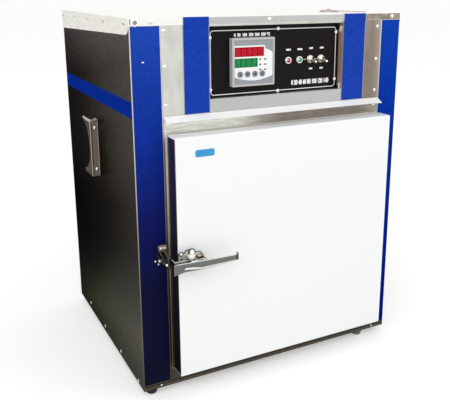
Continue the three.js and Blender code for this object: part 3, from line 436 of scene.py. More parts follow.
# The handles' broad faces are painted dark as a painted reflection of the panel beside them.
grip_chrome = plated(
    "chrome_grip",
    [(0.0, 0x0E0D0D), (0.6, 0x181615), (0.69, 0x1E1B1A), (0.74, 0x766860), (0.8, 0x8C7E74), (1.0, 0xE4DED4)],
    0.3, 0.15, 0x3A3836, 0.1,
)
# The handles' rounded edges and the top of their plates get this painted highlight.
grip_highlight = plated(
    "grip_painted_highlight",
    [(0.0, 0x3E3834), (0.5, 0x6E645C), (0.62, 0xB4A89C), (0.85, 0xE8DED2), (1.0, 0xFFFFFF)], 0.2, 0.4,
)
polished_edge = plated(
    "polished_edge", [(0.0, 0x8A877F), (0.4, 0xC2C0B8), (0.6, 0xE9E7E0), (1.0, 0xFFFFFF)], 0.2
)
worn_nickel = plated(
    "worn_nickel", [(0.0, 0x40342A), (0.45, 0x80705C), (0.7, 0xBCAF98), (0.85, 0xF0E8D8), (1.0, 0xFFFFFF)], 0.25
)
bat_nickel = plated(
    "satin_nickel_bat", [(0.0, 0x4A4438), (0.45, 0x8C8474), (0.68, 0xD8D2C2), (0.8, 0xFBF8F0), (1.0, 0xFFFFFF)],
    0.25, 0.6,
)
bronzed_nickel = plated(
    "bronzed_nickel", [(0.0, 0x2A221E), (0.5, 0x4A3D38), (0.75, 0x85746A), (0.9, 0xA8988C), (1.0, 0xC8BCB0)],
    0.25, 0.6,
)
worn_grey = plated(
    "worn_grey_plating", [(0.0, 0x22262A), (0.5, 0x565E5E), (0.75, 0x9CA6A0), (0.9, 0xC0C8C0), (1.0, 0xE0E6E0)],
    0.3, 0.5,
)
lamp_ring = plated(
    "chrome_lamp_ring", [(0.0, 0x2C3040), (0.5, 0x4A506A), (0.62, 0xC4C6D4), (0.7, 0xFFFFFF), (1.0, 0xFFFFFF)],
    0.3, 0.0,
)
bright_nickel = plated(
    "bright_nickel",
    [(0.0, 0x5A5854), (0.45, 0x8F8C86), (0.7, 0xC4C2BB), (0.85, 0xE9E8E3), (1.0, 0xFCFCFA)], 0.2,
)
shaded_screw = plated(
    "screw_in_shade", [(0.0, 0x3A3834), (0.4, 0x5A5650), (0.6, 0x8C8880), (0.75, 0xF4F2EC), (1.0, 0xFFFFFF)],
    0.25, 0.6,
)
red_lens = plated(
    "red_lamp_lens",
    [(0.0, 0xA8101A), (0.4, 0xD81420), (0.87, 0xE0202A), (0.91, 0x5C6890), (0.95, 0xB8BCD4), (0.98, 0xFFFFFF)],
    0.12, 0.0, toward=LEFTWARDS,
)
green_lens = plated(
    "green_lamp_lens", [(0.0, 0x08704A), (0.4, 0x0A8C5A), (0.87, 0x109A66), (0.92, 0xB8DCCC), (0.96, 0xFFFFFF)],
    0.12, 0.0, toward=LEFTWARDS,
)

# %% [markdown]
# The blue is a satin film on the steel. On the posts it is painted brighter near the top and darker towards
# the floor, a painted shade that goes towards navy on the left post. The film on the two strips is an even
# blue.

# %% Blue film
post_blue = finish(
    "blue_film_left_post",
    [(0.0, 0x0A0C2A), (0.3, 0x0A0D38), (0.5, 0x0D1866), (0.72, 0x0A32A2), (0.86, 0x123CAA), (1.0, 0x1E4CBC)],
    0.0, 0.5, 1.4, 0.3, 0.03, POST_RUN, (7, 7, 7, 0.2), level=0.06,
)
far_post_blue = finish(
    "blue_film_right_post", [(0.0, 0x021782), (0.35, 0x042194), (0.65, 0x0831A4), (1.0, 0x1447BA)],
    0.0, 0.5, 1.4, 0.3, 0.03, POST_RUN, (7, 7, 7, 0.2), level=0.0,
)
strip_blue = finish("blue_film", 0x1442B8, 0.0, 0.5, 1.4, 0.3, 0.03, cloud=(7, 7, 7, 0.25), level=0.08)
band_blue = finish("blue_film_side", 0x0C2F9A, 0.0, 0.6, 1.4, 0.3, 0.03, level=0.0)

# %% [markdown]
# The door is powder coated white. Powder coat has a very shallow orange peel of a millimetre or two.
# Its left edge, which faces the blue post, is painted dark: painted shade and a painted reflection of the
# post. The rest is paint, ink, moulded plastic, rubber and mineral wool.

# %% Enamel, paints and plastics
enamel = finish("white_powder_coat", 0xF8FAFA, 0.0, 0.42, 2.2, 0.02, 0.04)
# The door's dark left edge is painted shade and a painted reflection of the blue post.
door_edge_shade = finish(
    "door_edge_painted_shade", [(0.0, 0x0B0D10), (0.5, 0x171B2C), (1.0, 0x1F2148)],
    0.0, 0.5, 1.5, 0.3, 0.02, DOOR_RUN, level=0.05,
)
# A brown line down the door's corner, darker towards the bottom.
edge_brown = finish(
    "brown_door_corner_line", [(0.0, 0x14110F), (0.4, 0x1C1714), (0.8, 0x5C463A), (1.0, 0x8A6A58)],
    0.0, 0.5, (1.5, 1.5, 9), 0.4, 0.02, DOOR_RUN,
)
# A painted highlight for the inner edge of the door frame, darker towards the bottom.
frame_highlight = finish(
    "bright_frame_highlight",
    [(0.0, 0x8A7A5E), (0.3, 0x7C6C52), (0.55, 0xC6B59A), (0.85, 0xF2E8D6), (1.0, 0xF8F0E2)],
    0.3, 0.4, (0.8, 0.8, 20), 0.35, 0.02, DOOR_RUN,
)
# The strike's plate is painted dark, as painted shade of the door.
strike_plate_shade = finish("strike_plate_painted_shade", 0x14162E, 0.0, 0.5, 1.2, 0.4, 0.03, level=0.1)
hinge_blue = finish("blue_painted_hinge", 0x0E2C92, 0.0, 0.5, 1.4, 0.3, 0.03, level=0.1)
# Painted shade for the latch's pockets and for the dark outline behind its faces.
pocket_grey = finish("shaded_casting_pocket", 0x6A6A6C, 0.2, 0.5, 2.2, 0.7, 0.03)
latch_outline_shade = finish("latch_outline_painted_shade", 0x5A5852, 0.3, 0.5, 3, 0.8, 0.03)
eyelet_tan = finish("dull_eyelet_well", 0xA59888, 0.4, 0.5, 1.5, 0.4, 0.02)
black_plate = finish("black_screen_printed_plate", 0x150F10, 0.0, 0.5, 1.4, 0.6, 0.02, level=0.12)
white_ink = finish("white_ink", 0xFFFFFF, 0.0, 0.6, 0.8, 0.08)
ink_black = finish("black_ink", 0x0E1012, 0.0, 0.6, 0.6, 0.15, level=0.1)
case_plastic = finish("moulded_light_grey_plastic", 0xC2C0C1, 0.0, 0.5, 0.7, 0.15, 0.02)
face_grey = finish("controller_face_grey", 0x989CA1, 0.0, 0.5, 0.9, 0.2)
face_white = finish("controller_face_white", 0xF4F5F5, 0.0, 0.45, 0.9, 0.04)
key_plastic = finish("moulded_key_grey", 0x7C8187, 0.0, 0.5, 0.6, 0.25, 0.02)
red_window = finish("red_display_window", 0xB40A20, 0.0, 0.3, 3.0, 0.25, level=0.06)
red_ghost = finish("unlit_red_segment", 0xD63C4C, 0.0, 0.4, 1.0, 0.15, level=0.06)
green_window = finish("green_display_window", 0x067A3A, 0.0, 0.3, 3.0, 0.25, level=0.06)
green_ghost = finish("unlit_green_segment", 0x4DB07A, 0.0, 0.4, 1.0, 0.15, level=0.06)
rubber = finish("moulded_rubber", 0x171613, 0.0, 0.75, 0.8, 0.35, 0.03)
# The right feet are the same rubber painted paler: painted light.
lit_rubber = finish("moulded_rubber_painted_light", 0x787C6A, 0.0, 0.75, 0.8, 0.35, 0.03)
silicone = finish("red_brown_silicone", 0x93392B, 0.0, 0.6, 1.0, 0.2, 0.03)
wool = finish("mineral_wool", 0xD2C690, 0.0, 1.0, 2.5, 0.6, 0.6)
motor_paint = finish("grey_motor_paint", 0x5B6066, 0.2, 0.5, 1.2, 0.25, 0.03)
shutter_pink = finish("pinkish_plated_strip", 0xCDB2A8, 0.7, 0.4, (30, 0.8, 0.8), 0.25, 0.02)
plate_blue = finish("light_blue_name_plate", 0x2E9CD8, 0.1, 0.35, 1.0, 0.12)
print("finishes", len(bpy.data.materials))

# %% [markdown]
# ## Shapes
# Each piece starts as a bmesh, because its operators take plain numbers and leave no modifiers behind.
# A block, a turned profile and a flat outline given a thickness are enough for nearly everything on an
# oven that is folded, turned and punched from stock. A block comes first. No real edge is razor sharp,
# so even a thin film gets its edges broken, and they catch the light.

# %% Blocks
SKIN_EDGE = 0.1


def rounded(bm, geom, offset, segments, affect="EDGES"):
    """Rounds edges or corners and returns what it made."""
    return bmesh.ops.bevel(
        bm, geom=geom, offset=offset, offset_type="OFFSET", segments=segments,
        profile=0.5, affect=affect, material=-1, clamp_overlap=True,
    )


def block(bm, x, y, z, radius=0.0, segments=3):
    """A box between pairs of numbers, with its edges rounded."""
    size = [pair[1] - pair[0] for pair in (x, y, z)]
    middle = [(pair[0] + pair[1]) / 2 for pair in (x, y, z)]
    matrix = Matrix.Translation(middle) @ Matrix.Diagonal((*size, 1))
    verts = bmesh.ops.create_cube(bm, size=1, matrix=matrix)["verts"]
    if radius:
        edges = list(dict.fromkeys(edge for vert in verts for edge in vert.link_edges))
        rounded(bm, edges, radius, segments)


def skin(bm, x, y, z, radius=SKIN_EDGE):
    """A thin block whose edges are only broken."""
    block(bm, x, y, z, radius, 1)


print("edges of films", SKIN_EDGE, "mm")

# %% [markdown]
# Screws, feet, lamps, keys and switches are turned or moulded round, so they are spun from half of
# their section. Cylinders could be stacked instead, but a profile gives lips, domes and grooves in one
# closed shape.

# %% Turned shapes
TURNS = {
    "z": Matrix.Identity(4),
    "y": Matrix.Rotation(math.radians(90), 4, "X"),
    "x": Matrix.Rotation(math.radians(90), 4, "Y"),
}
TURNS |= {"-" + axis: Matrix.Rotation(math.pi, 4, "Z") @ TURNS[axis] for axis in "xy"}


def turned(bm, profile, centre, axis="y", steps=32, closed=False):
    """Spins (radius, height) points about an axis or a matrix's z. Along y they grow towards the viewer."""
    verts = [bm.verts.new((radius, 0, height)) for radius, height in profile]
    pairs = list(zip(verts, verts[1:])) + ([(verts[-1], verts[0])] if closed else [])
    edges = [bm.edges.new(pair) for pair in pairs]
    before = set(bm.verts) - set(verts)
    bmesh.ops.spin(
        bm, geom=verts + edges, cent=(0, 0, 0), axis=(0, 0, 1), dvec=(0, 0, 0),
        angle=math.tau, steps=steps, use_merge=True, use_duplicate=False,
    )
    made = [vert for vert in bm.verts if vert not in before]
    turn = TURNS[axis] if isinstance(axis, str) else axis
    bmesh.ops.transform(bm, matrix=Matrix.Translation(centre) @ turn, verts=made)
    bmesh.ops.remove_doubles(bm, verts=made, dist=0.001)


print("axes to turn about", sorted(TURNS))

# %% [markdown]
# Plates, hooks and hexagons are drawn flat and then given a thickness. Their corners can be rounded
# first, while there are only a few of them, and the edge of the front face afterwards.

# %% Flat outlines
AXES = {"x": lambda a, b, c: (c, a, b), "y": lambda a, b, c: (a, c, b), "z": lambda a, b, c: (a, b, c)}


def thicken(bm, faces, shift):
    """Gives faces a thickness and returns the edges of the side that was moved."""
    grown = bmesh.ops.extrude_face_region(bm, geom=faces, use_keep_orig=True)["geom"]
    moved = [item for item in grown if isinstance(item, bmesh.types.BMVert)]
    bmesh.ops.translate(bm, verts=moved, vec=shift)
    return [item for item in grown if isinstance(item, bmesh.types.BMEdge)]


def outline(bm, points, axis, reach, corner=0.0, edge=0.0, steps=4):
    """A flat outline given a thickness: (y, z) points along x, (x, z) along y, (x, y) along z."""
    verts = [bm.verts.new(AXES[axis](a, b, reach[0])) for a, b in points]
    face = bm.faces.new(verts)
    if corner:
        made = rounded(bm, verts, corner, steps, "VERTICES")["verts"]
        face = max({f for v in made for f in v.link_faces}, key=lambda f: f.calc_area())
    rims = thicken(bm, [face], AXES[axis](0, 0, reach[1] - reach[0]))
    if edge:
        rounded(bm, rims, edge, 2)


print("outlines can lie across", sorted(AXES))

# %% [markdown]
# The last step of each piece is always the same: merge what touches, point the faces outwards, mark
# the sharp edges, move it to the frame's metres, and let it ride on its body. A piece that is shown in
# a solid's place names that solid. Most pieces are a short list of shapes, so one function takes that
# list, and only a few are built by hand.

# %% From shapes to a piece
SHARP = math.radians(32)
BROAD = 400 * MM * MM
WELD = 0.0005


def close_piece(bm, name, material, body="cabinet", node=None, scale=True):
    """Cleans a bmesh and makes it a piece that rides on a body, and stands in for a solid if one is named."""
    bmesh.ops.remove_doubles(bm, verts=bm.verts, dist=WELD if scale else WELD * MM)
    bmesh.ops.recalc_face_normals(bm, faces=bm.faces)
    for edge in bm.edges:
        edge.smooth = len(edge.link_faces) == 2 and edge.calc_face_angle(0) < SHARP
    if scale:
        bmesh.ops.transform(bm, matrix=TO_FRAME, verts=bm.verts)
    for face in bm.faces:
        face.smooth = face.calc_area() < BROAD
    mesh = bpy.data.meshes.new(name)
    bm.to_mesh(mesh)
    bm.free()
    mesh.materials.append(material)
    piece = bpy.data.objects.new(name, mesh)
    bpy.context.scene.collection.objects.link(piece)
    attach(piece, body)
    if node:
        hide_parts(node)
    print(name, "faces", len(mesh.polygons))
    return piece


def make(name, material, slot, *shapes, body="cabinet", node=None):
    """A piece from shapes, each one a helper's name and the values it takes."""
    bm = bmesh.new()
    for shape, *values in shapes:
        shape(bm, *values)
    close_piece(bm, name, material, body, node)


print("edges look sharp above", round(math.degrees(SHARP)), "degrees")

# %% [markdown]
# ## Sheet metal
# A folded sheet never has a razor edge: the shear leaves a small burr that is rolled off, and every
# fold has a radius. A copy of each solid is merged, its flat faces are joined again, and its sharp
# edges are bevelled by a few tenths of a millimetre, which is what catches the light on a real one.

# %% Softened copies of the sheets
BEND_LENGTH = 60
BODIES = {node: body for body, nodes in frame["record"]["behaviour"]["bodies"].items() for node in nodes}


def soften(node, material, radius, second=None, where=None, rims=False, bend=0.0, cuts=()):
    """A cleaned copy of a solid with bevelled edges.

    second is another finish, for the faces for which where(normal, place) is true and, with rims, for the
    bevels. bend is a larger radius for the long upright edges, and cuts are heights at which faces are
    parted first, all in millimetres.
    """
    source = bmesh.new()
    source.from_mesh(frame["nodes"][node].data)
    bmesh.ops.remove_doubles(source, verts=source.verts, dist=0.02 * MM)
    bmesh.ops.dissolve_limit(
        source, angle_limit=math.radians(1), use_dissolve_boundaries=False,
        verts=source.verts, edges=source.edges,
    )
    bmesh.ops.recalc_face_normals(source, faces=source.faces)
    for height in cuts:
        bmesh.ops.bisect_plane(
            source, geom=source.verts[:] + source.edges[:] + source.faces[:],
            plane_co=TO_FRAME @ Vector((0, 0, height)), plane_no=UPWARDS,
        )
    if bend:
        upright = [e for e in source.edges if abs(e.verts[0].co.z - e.verts[1].co.z) > BEND_LENGTH * MM]
        for face in rounded(source, upright, bend * MM, 3)["faces"]:
            face.material_index = 1
    sharp = [e for e in source.edges if len(e.link_faces) == 2 and e.calc_face_angle(0) > SHARP]
    bevels = set(rounded(source, sharp, radius * MM, 2)["faces"])
    for face in source.faces:
        place = TO_WORKSHOP @ face.calc_center_median()
        if (rims and face in bevels) or (where and where(face.normal, place)):
            face.material_index = 1
    piece = close_piece(source, node + "_sheet", material, BODIES[node], node, False)
    if second:
        piece.data.materials.append(second)


for material, radius, nodes in (
    (room_reflection_steel, 0.4, "side_panel_left side_panel_right"), (room_reflection_steel, 0.25, "back_panel"),
    (post_steel, 0.4, "corner_post_left corner_post_right"), (frame_steel, 0.3, "front_frame"),
    (fascia_steel, 0.3, "control_fascia"), (steel, 0.25, "accent_strip_left accent_strip_right"),
    (tray_steel, 0.3, "base_tray"), (black_plate, 0.3, "control_plate"), (steel, 0.4, "door_liner"),
    (silicone, 0.6, "door_gasket"), (shutter_pink, 0.3, "vent_damper"),
    (hinge_blue, 0.3, "hinge_frame_leaf_lower hinge_frame_leaf_upper"),
    (hinge_blue, 0.3, "hinge_door_leaf_lower hinge_door_leaf_upper"),
):
    for node in nodes.split():
        soften(node, material, radius)

# %% [markdown]
# The side handles are bent and polished plates. Their broad faces mirror the dark panel beside them, which
# is painted into their tone as a painted reflection, and only the rounded edges and the top of the plate
# catch the light, so those get a painted highlight. A thin painted highlight line runs where the front web
# meets the panel, and a dark strip of painted shade lies near its outer edge.

# %% Side handles
GRIP_BAND = 5.5
for side, sign in (("left", -1), ("right", 1)):
    node = "side_handle_" + side
    low, high = span(node)
    band = high.z - GRIP_BAND
    soften(
        node, grip_chrome, 0.5, grip_highlight, rims=True, bend=0.9, cuts=(band,),
        where=lambda normal, place: place.z > band and (abs(normal.x) > 0.5 or normal.z > 0.5),
    )
    panel, outer = (high.x, low.x) if side == "left" else (low.x, high.x)
    line = sorted((panel + sign * 0.4, panel + sign * 1.7))
    shade_strip = sorted((outer - sign * 2.6, outer - sign * 4.2))
    # A thin painted highlight line and a dark strip of painted shade on the handle's front.
    make(
        "handle_line_" + side, grip_highlight, "chrome_fitting",
        (skin, line, (low.y - 0.25, low.y), (low.z + 4, high.z - 4)),
    )
    make(
        "handle_shade_strip_" + side, shadow_chrome, "chrome_fitting",
        (skin, shade_strip, (low.y - 0.15, low.y), (low.z + 2, high.z - 8), 0.05),
    )

# %% [markdown]
# The drip rail is one folded sheet. Its visor looks up into the light, so its upward faces are painted
# nearly white, a painted highlight, while the part below it lies in the visor's shade and carries the painted
# left-to-right reflection of the rail. The skirt at the cover's sides is painted paler than its top as well,
# as painted light.

# %% Drip rail and top cover
soften("drip_rail", rail_steel, 0.4, visor_painted_light, lambda normal, place: normal.z > 0.3)
soften("top_cover", cover_steel, 0.4, skirt_side_painted_light, lambda normal, place: abs(normal.x) > 0.7)

# %% [markdown]
# The solids that are only seen through the open door or the slots keep their own shape and only get
# their finish.

# %% Finishes of the solids that stay
for material, nodes in (
    (steel, "chamber_liner heater_ring fan_wheel fan_baffle shelf_rack_left shelf_rack_right"),
    (steel, "shelf_lower shelf_upper temperature_probe vent_tube"), (motor_paint, "fan_motor"),
    (wool, "insulation_sleeve insulation_back door_insulation"),
    (hinge_blue, "hinge_pin_lower hinge_pin_upper"),
):
    for node in nodes.split():
        mesh = frame["nodes"][node].data
        mesh.materials.clear()
        mesh.materials.append(material)
        print(node, material.name)

# %% [markdown]
# ## Blue film and grey bands
# The corner posts and the strips are steel with film laid on them, and the steel shows as a bright
# line of a millimetre or two along both edges. Each film is a skin a quarter of a millimetre thick.

# %% Films and bands
FILM = 0.25
BRIGHT_EDGE = 1.8
STRIP_FACE, SKIRT_FACE, SKIRT_LOW = -1.1, -1.5, 745.5
COVER_TOP, WRAP = span("top_cover")[1].z, 4
SIDE_BAND = (576, 607)
SKIRT_BAND, FASCIA_BAND = (746.4, 759.3), (577, 601.4)
sheet_left = span("side_panel_left")[0].x
sheet_right = span("side_panel_right")[1].x
strips = {side: span("accent_strip_" + side) for side in ("left", "right")}

for side, material, bright in (("left", post_blue, BRIGHT_EDGE), ("right", far_post_blue, 0.4)):
    low, high = span("corner_post_" + side)
    across = (low.x + BRIGHT_EDGE, high.x - bright)
    make("post_film_" + side, material, "blue_finish", (skin, across, (-FILM, 0), (low.z + 2, SKIRT_LOW)))
for side, reach in (("left", (sheet_left - FILM, sheet_left)), ("right", (sheet_right, sheet_right + FILM))):
    make("side_band_" + side, band_blue, "blue_finish", (skin, reach, (2.5, 518), SIDE_BAND))
for side, (low, high) in strips.items():
    fold_y, fold_z, foot = low.y, SKIRT_LOW - 0.8, low.z + 0.6
    film = [
        (STRIP_FACE, foot), (STRIP_FACE, fold_z - 0.3), (fold_y, fold_z - 0.3), (fold_y, COVER_TOP),
        (WRAP, COVER_TOP), (WRAP, COVER_TOP + FILM), (fold_y - FILM, COVER_TOP + FILM),
        (fold_y - FILM, fold_z - FILM - 0.3), (STRIP_FACE - FILM, fold_z - FILM - 0.3),
        (STRIP_FACE - FILM, foot),
    ]
    make("strip_film_" + side, strip_blue, "blue_finish", (outline, film, "x", (low.x + 0.6, high.x - 1.1)))

between = (strips["left"][1].x + 0.5, strips["right"][0].x - 0.5)
skirt_depth = (SKIRT_FACE - FILM, SKIRT_FACE)
make(
    "fascia_grey_bands", band_grey, "stainless",
    (skin, between, skirt_depth, SKIRT_BAND), (skin, between, (-FILM, 0), FASCIA_BAND),
)
# The skirt's right end carries the painted reflection.
make(
    "skirt_end_face", skirt_end_reflection, "stainless",
    (skin, (strips["right"][1].x + 0.6, sheet_right - 1), skirt_depth, SKIRT_BAND),
)

# %% [markdown]
# Four small things sit on the front: a chip in the film of the left post, the open corner between the
# cover's two skirts, an eyelet with its well in the front skirt beside it, and a painted highlight on the
# inner edge of the door frame, a bright strip that is darker towards the bottom. The eyelet and its well
# are turned.

# %% Chip, corner, eyelet and bead
EYELET = (11.4, SKIRT_FACE, 751.6)
make(
    "post_film_chip", white_ink, "blue_finish",
    (skin, (22.2, 26.2), (-FILM - 0.1, -FILM), (679.4, 681.6), 0.05),
)
make("cover_corner_gap", eyelet_tan, "stainless", (skin, (0.9, 3.1), (-1.8, -1.45), (749.2, 758.4)))
ring = [(4.1, 0), (7.0, 0), (7.0, 0.5), (6.3, 1.1), (5.0, 1.3), (4.1, 0.9)]
well = [(0, 0.3), (4.2, 0.3), (4.2, 0), (0, 0)]
make("cover_eyelet", polished_edge, "stainless", (turned, ring, EYELET, "y", 40, True))
make("cover_eyelet_well", eyelet_tan, "stainless", (turned, well, EYELET, "y", 40))
low, high = span("front_frame")
# A painted highlight strip on the inner edge of the door frame.
highlight_strip = [
    (63.9, 36), (65.3, 36), (65.8, 250), (66.6, 420), (66.6, high.z - 1), (62.8, high.z - 1), (62.8, 420),
    (63.5, 250),
]
make("frame_highlight_strip", frame_highlight, "stainless", (outline, highlight_strip, "y", (low.y, low.y - 0.4)))

# %% [markdown]
# ## Screws
# The covers are held by pan head screws. One head is a low dome, turned like the real one. Each group
# is one piece, because nobody would take the heads for separate parts of the shape.

# %% Pan head screws
HEAD_HEIGHT = 1.5


def quarter(first, last, parts, whole=math.pi / 2):
    """The angles from the first to the last step, when a quarter turn is cut in even parts."""
    return [whole * step / parts for step in range(first, last + 1)]


def screws(name, places, axis="y", material=polished_edge, radius=3.2, slot="stainless"):
    """Domed heads that stand on the surface at their places."""
    head = [(0, HEAD_HEIGHT)]
    for angle in quarter(1, 4, 4):
        head.append((radius * math.sin(angle), HEAD_HEIGHT * (0.25 + 0.75 * math.cos(angle))))
    head += [(radius, 0), (0, 0)]
    make(name, material, slot, *[(turned, head, place, axis, 16) for place in places])


screws("cover_screws_front", [(x, SKIRT_FACE, 753) for x in (41, 289, 598)], radius=4.3)
FASCIA_SCREWS = [(65.5, 0, z) for z in (736, 670, 597)] + [(559.8, 0, z) for z in (732, 662, 593)]
screws("fascia_screws", FASCIA_SCREWS, radius=3.7)
screws("rail_screws", [(67.5, -1.5, 560), (557.6, -1.5, 561)], radius=3.6)
screws("tray_screws", [(38, 0, 5.4), (586, 0, 6)], material=bright_nickel, radius=2.6)
SKIRT_ROW = [(507.6, 750.3), (399, 750), (283.5, 750), (156.5, 750.6), (25, 751)]
FOOT_ROW = [(415, 18), (285, 14), (158, 12), (36.5, 6)]
GRIP_FRONT = span("side_handle_left")[0].y
for side, x, sign, axis in (("left", sheet_left, -1, "-x"), ("right", sheet_right, 1, "x")):
    screws("skirt_screws_" + side, [(x + sign * 1.5, y, z) for y, z in SKIRT_ROW], axis, shaded_screw, 4)
    screws("side_screws_" + side, [(x, y, z) for y, z in FOOT_ROW], axis, radius=3.9)
for side, x in (("left", -6.4), ("right", sheet_right + 6.4)):
    screws("handle_screws_" + side, [(x, GRIP_FRONT, z) for z in (515, 421)], radius=4.2)
BACK_FACE = span("back_panel")[1].y
BACK_ROWS = [(x, z) for x in (12, 200, 421, 609) for z in (14, 730)]
BACK_SIDES = [(x, z) for x in (12, 609) for z in (250, 490)]
screws("back_screws", [(x, BACK_FACE, z) for x, z in BACK_ROWS + BACK_SIDES], "-y", bright_nickel)

# %% [markdown]
# ## Door
# The door is a pressed steel tray with soft front edges, full of insulation. It starts as a box whose
# back is taken off; the front edges are rounded and the walls get their thickness inwards. A dark film of
# painted shade and painted reflection of the post runs down its left edge, darker towards the bottom, and a
# brown line, darker towards the bottom, runs down the corner before it.

# %% Door shell
DOOR_RADIUS, DOOR_SHEET = 3.2, 1.2
door_low, door_high = span("door_shell")
bm = bmesh.new()
block(bm, (door_low.x, door_high.x), (door_low.y, door_high.y), (door_low.z, door_high.z))
back = max(bm.faces, key=lambda face: face.calc_center_median().y)
bmesh.ops.delete(bm, geom=[back], context="FACES_ONLY")
rounded(bm, [e for e in bm.edges if len(e.link_faces) == 2], DOOR_RADIUS, 5)
bmesh.ops.recalc_face_normals(bm, faces=bm.faces)
bmesh.ops.solidify(bm, geom=bm.faces[:], thickness=DOOR_SHEET)
close_piece(bm, "door_skin", enamel, "door", "door_shell")

edge_x, edge_z = door_low.x - 0.25, (door_low.z + 3.4, door_high.z - 3.4)
# A dark film on the door's left edge: painted shade and reflection.
make(
    "door_edge_shade_film", door_edge_shade, "white_enamel",
    (skin, (edge_x, door_low.x + 0.1), (door_low.y + 3.4, -4.2), edge_z), body="door",
)
make(
    "door_corner_line", edge_brown, "white_enamel",
    (skin, (edge_x, door_low.x + 0.6), (door_low.y + 1.2, door_low.y + 3.6), edge_z), body="door",
)

# %% [markdown]
# A small blank name plate lies high on the left of the door, a thin enamelled strip with round corners.

# %% Name plate
def moved_to(x, z, points):
    """The points of an outline that was drawn round its own middle."""
    return [(x + a, z + b) for a, b in points]


name_plate = moved_to(128, 507, [(-20, -7), (20, -7), (20, 7), (-20, 7)])
make(
    "name_plate_blank", plate_blue, "blue_finish",
    (outline, name_plate, "y", (door_low.y, door_low.y - 0.6), 3.5), body="door",
)

# %% [markdown]
# ## Feet
# A moulded rubber foot is turned: a broad top that meets the tray, a taper and a rounded sole. Its
# profile is given in shares of the foot's radius and height.

# %% Feet
FOOT = [(0, 0), (0.62, 0), (0.74, 0.05), (0.8, 0.14), (0.9, 0.6), (1, 0.72), (1, 0.94), (0.96, 1), (0, 1)]
# The right feet are painted paler, as painted light.
for column, material in (("left", rubber), ("right", lit_rubber)):
    for row in ("front", "back"):
        node = f"foot_{row}_{column}"
        low, high = span(node)
        wide, tall = (high.x - low.x) / 2, high.z - low.z
        profile = [(wide * across, tall * up) for across, up in FOOT]
        place = ((low.x + high.x) / 2, (low.y + high.y) / 2, low.z)
        make(node + "_moulding", material, "black_rubber", (turned, profile, place, "z", 40), node=node)

# %% [markdown]
# ## Control plate
# The plate is screen printed: a white line with round corners runs round it, six white screw heads
# sit on the line, and plain numbers and the words ON and OFF are printed by the controls. The line
# starts as a flat outline whose corners are rounded; it is inset once, and the middle is taken out.

# %% Printed line
PRINT = 0.15
LINE_X, LINE_Z, LINE_CORNER, LINE_WIDTH = (166.5, 462.5), (606, 733), 7, 1.5
plate_low, plate_high = span("control_plate")
print_y = plate_low.y
bm = bmesh.new()
corners = [(LINE_X[0], LINE_Z[0]), (LINE_X[1], LINE_Z[0]), (LINE_X[1], LINE_Z[1]), (LINE_X[0], LINE_Z[1])]
verts = [bm.verts.new((x, print_y, z)) for x, z in corners]
bm.faces.new(verts)
rounded(bm, verts, LINE_CORNER, 5, "VERTICES")
face = max(bm.faces, key=lambda f: f.calc_area())
bmesh.ops.inset_individual(bm, faces=[face], thickness=LINE_WIDTH, depth=0, use_even_offset=True)
bmesh.ops.delete(bm, geom=[face], context="FACES")
thicken(bm, bm.faces[:], (0, -PRINT, 0))
close_piece(bm, "plate_printed_line", white_ink)
PLATE_SCREWS = [(319.5, 733), (462.5, 722), (462, 622), (320, 606), (166.5, 719.5), (166.5, 617.5)]
screws("plate_screws", [(x, print_y, z) for x, z in PLATE_SCREWS], "y", white_ink, 3.6, "controller_abs")

CLIPS = [(block, (465.6, 469.8), (4, 11), (z - 6, z + 6), 0.8) for z in (729, 607.5)]
make("plate_clips", polished_edge, "stainless", *CLIPS)
make("window_return", window_steel, "stainless", (skin, (469.1, 469.9), (0.6, 15), (603, 741), 0.2))

# %% [markdown]
# Printed words and numbers are text objects turned to meshes. Only plain numbers, a degree scale and
# ON and OFF are printed, whatever a maker might put there.

# %% Printed numbers
CAP_SHARE = 0.7


def lettering(name, words, height, bold, narrow):
    """Flat text that faces the viewer: words is a list of (text, x, z), centred."""
    bm = bmesh.new()
    for text, x, z in words:
        curve = bpy.data.curves.new("words", "FONT")
        curve.body = text
        curve.size = height / CAP_SHARE
        curve.align_x = "CENTER"
        curve.align_y = "CENTER"
        curve.extrude = PRINT / 2
        curve.offset = bold
        curve.resolution_u = 3
        holder = bpy.data.objects.new("words", curve)
        start = len(bm.verts)
        bm.from_mesh(holder.to_mesh())
        bm.verts.ensure_lookup_table()
        stand = Matrix.Translation((x, print_y - PRINT / 2, z)) @ TURNS["y"]
        squeeze = Matrix.Diagonal((narrow, 1, 1, 1))
        bmesh.ops.transform(bm, matrix=stand @ squeeze, verts=bm.verts[start:])
        holder.to_mesh_clear()
        bpy.data.objects.remove(holder)
        bpy.data.curves.remove(curve)
    close_piece(bm, name, white_ink)


lamp_x = {colour: round_part("lamp_lens_" + colour)[0] for colour in ("red", "green")}
switch_x = {name: round_part("toggle_body_" + name)[0] for name in ("mains", "fan")}
signal_z = round_part("lamp_lens_red")[1]
switch_words = [(word, x + 2, z) for word, z in (("OFF", 690), ("ON", 647.5)) for x in switch_x.values()]
lettering("plate_labels", switch_words, 3.3, 0.42, 1.1)
lettering("lamp_labels", [("001", lamp_x["red"] + 2, 689), ("002", lamp_x["green"] + 2, 689)], 3.2, 0.42, 1.7)
lettering("plate_scale", [("0 20 40 60 80 100 120 140", 399.5, 620)], 9.1, 0.75, 0.655)
lettering("plate_heading", [("0  50  100  150  200  250 °C", 259.5, 722.4)], 5.4, 0.62, 0.9)

# %% [markdown]
# ## Controller
# A panel controller is a moulded case pushed through a square hole, with a rim round its front. The
# front face lies inside the rim: grey at the top and the bottom, with a white area whose edges swell
# like a barrel. Behind dark windows are two rows of digits, which are off here, so only the ghosts of
# their segments show.

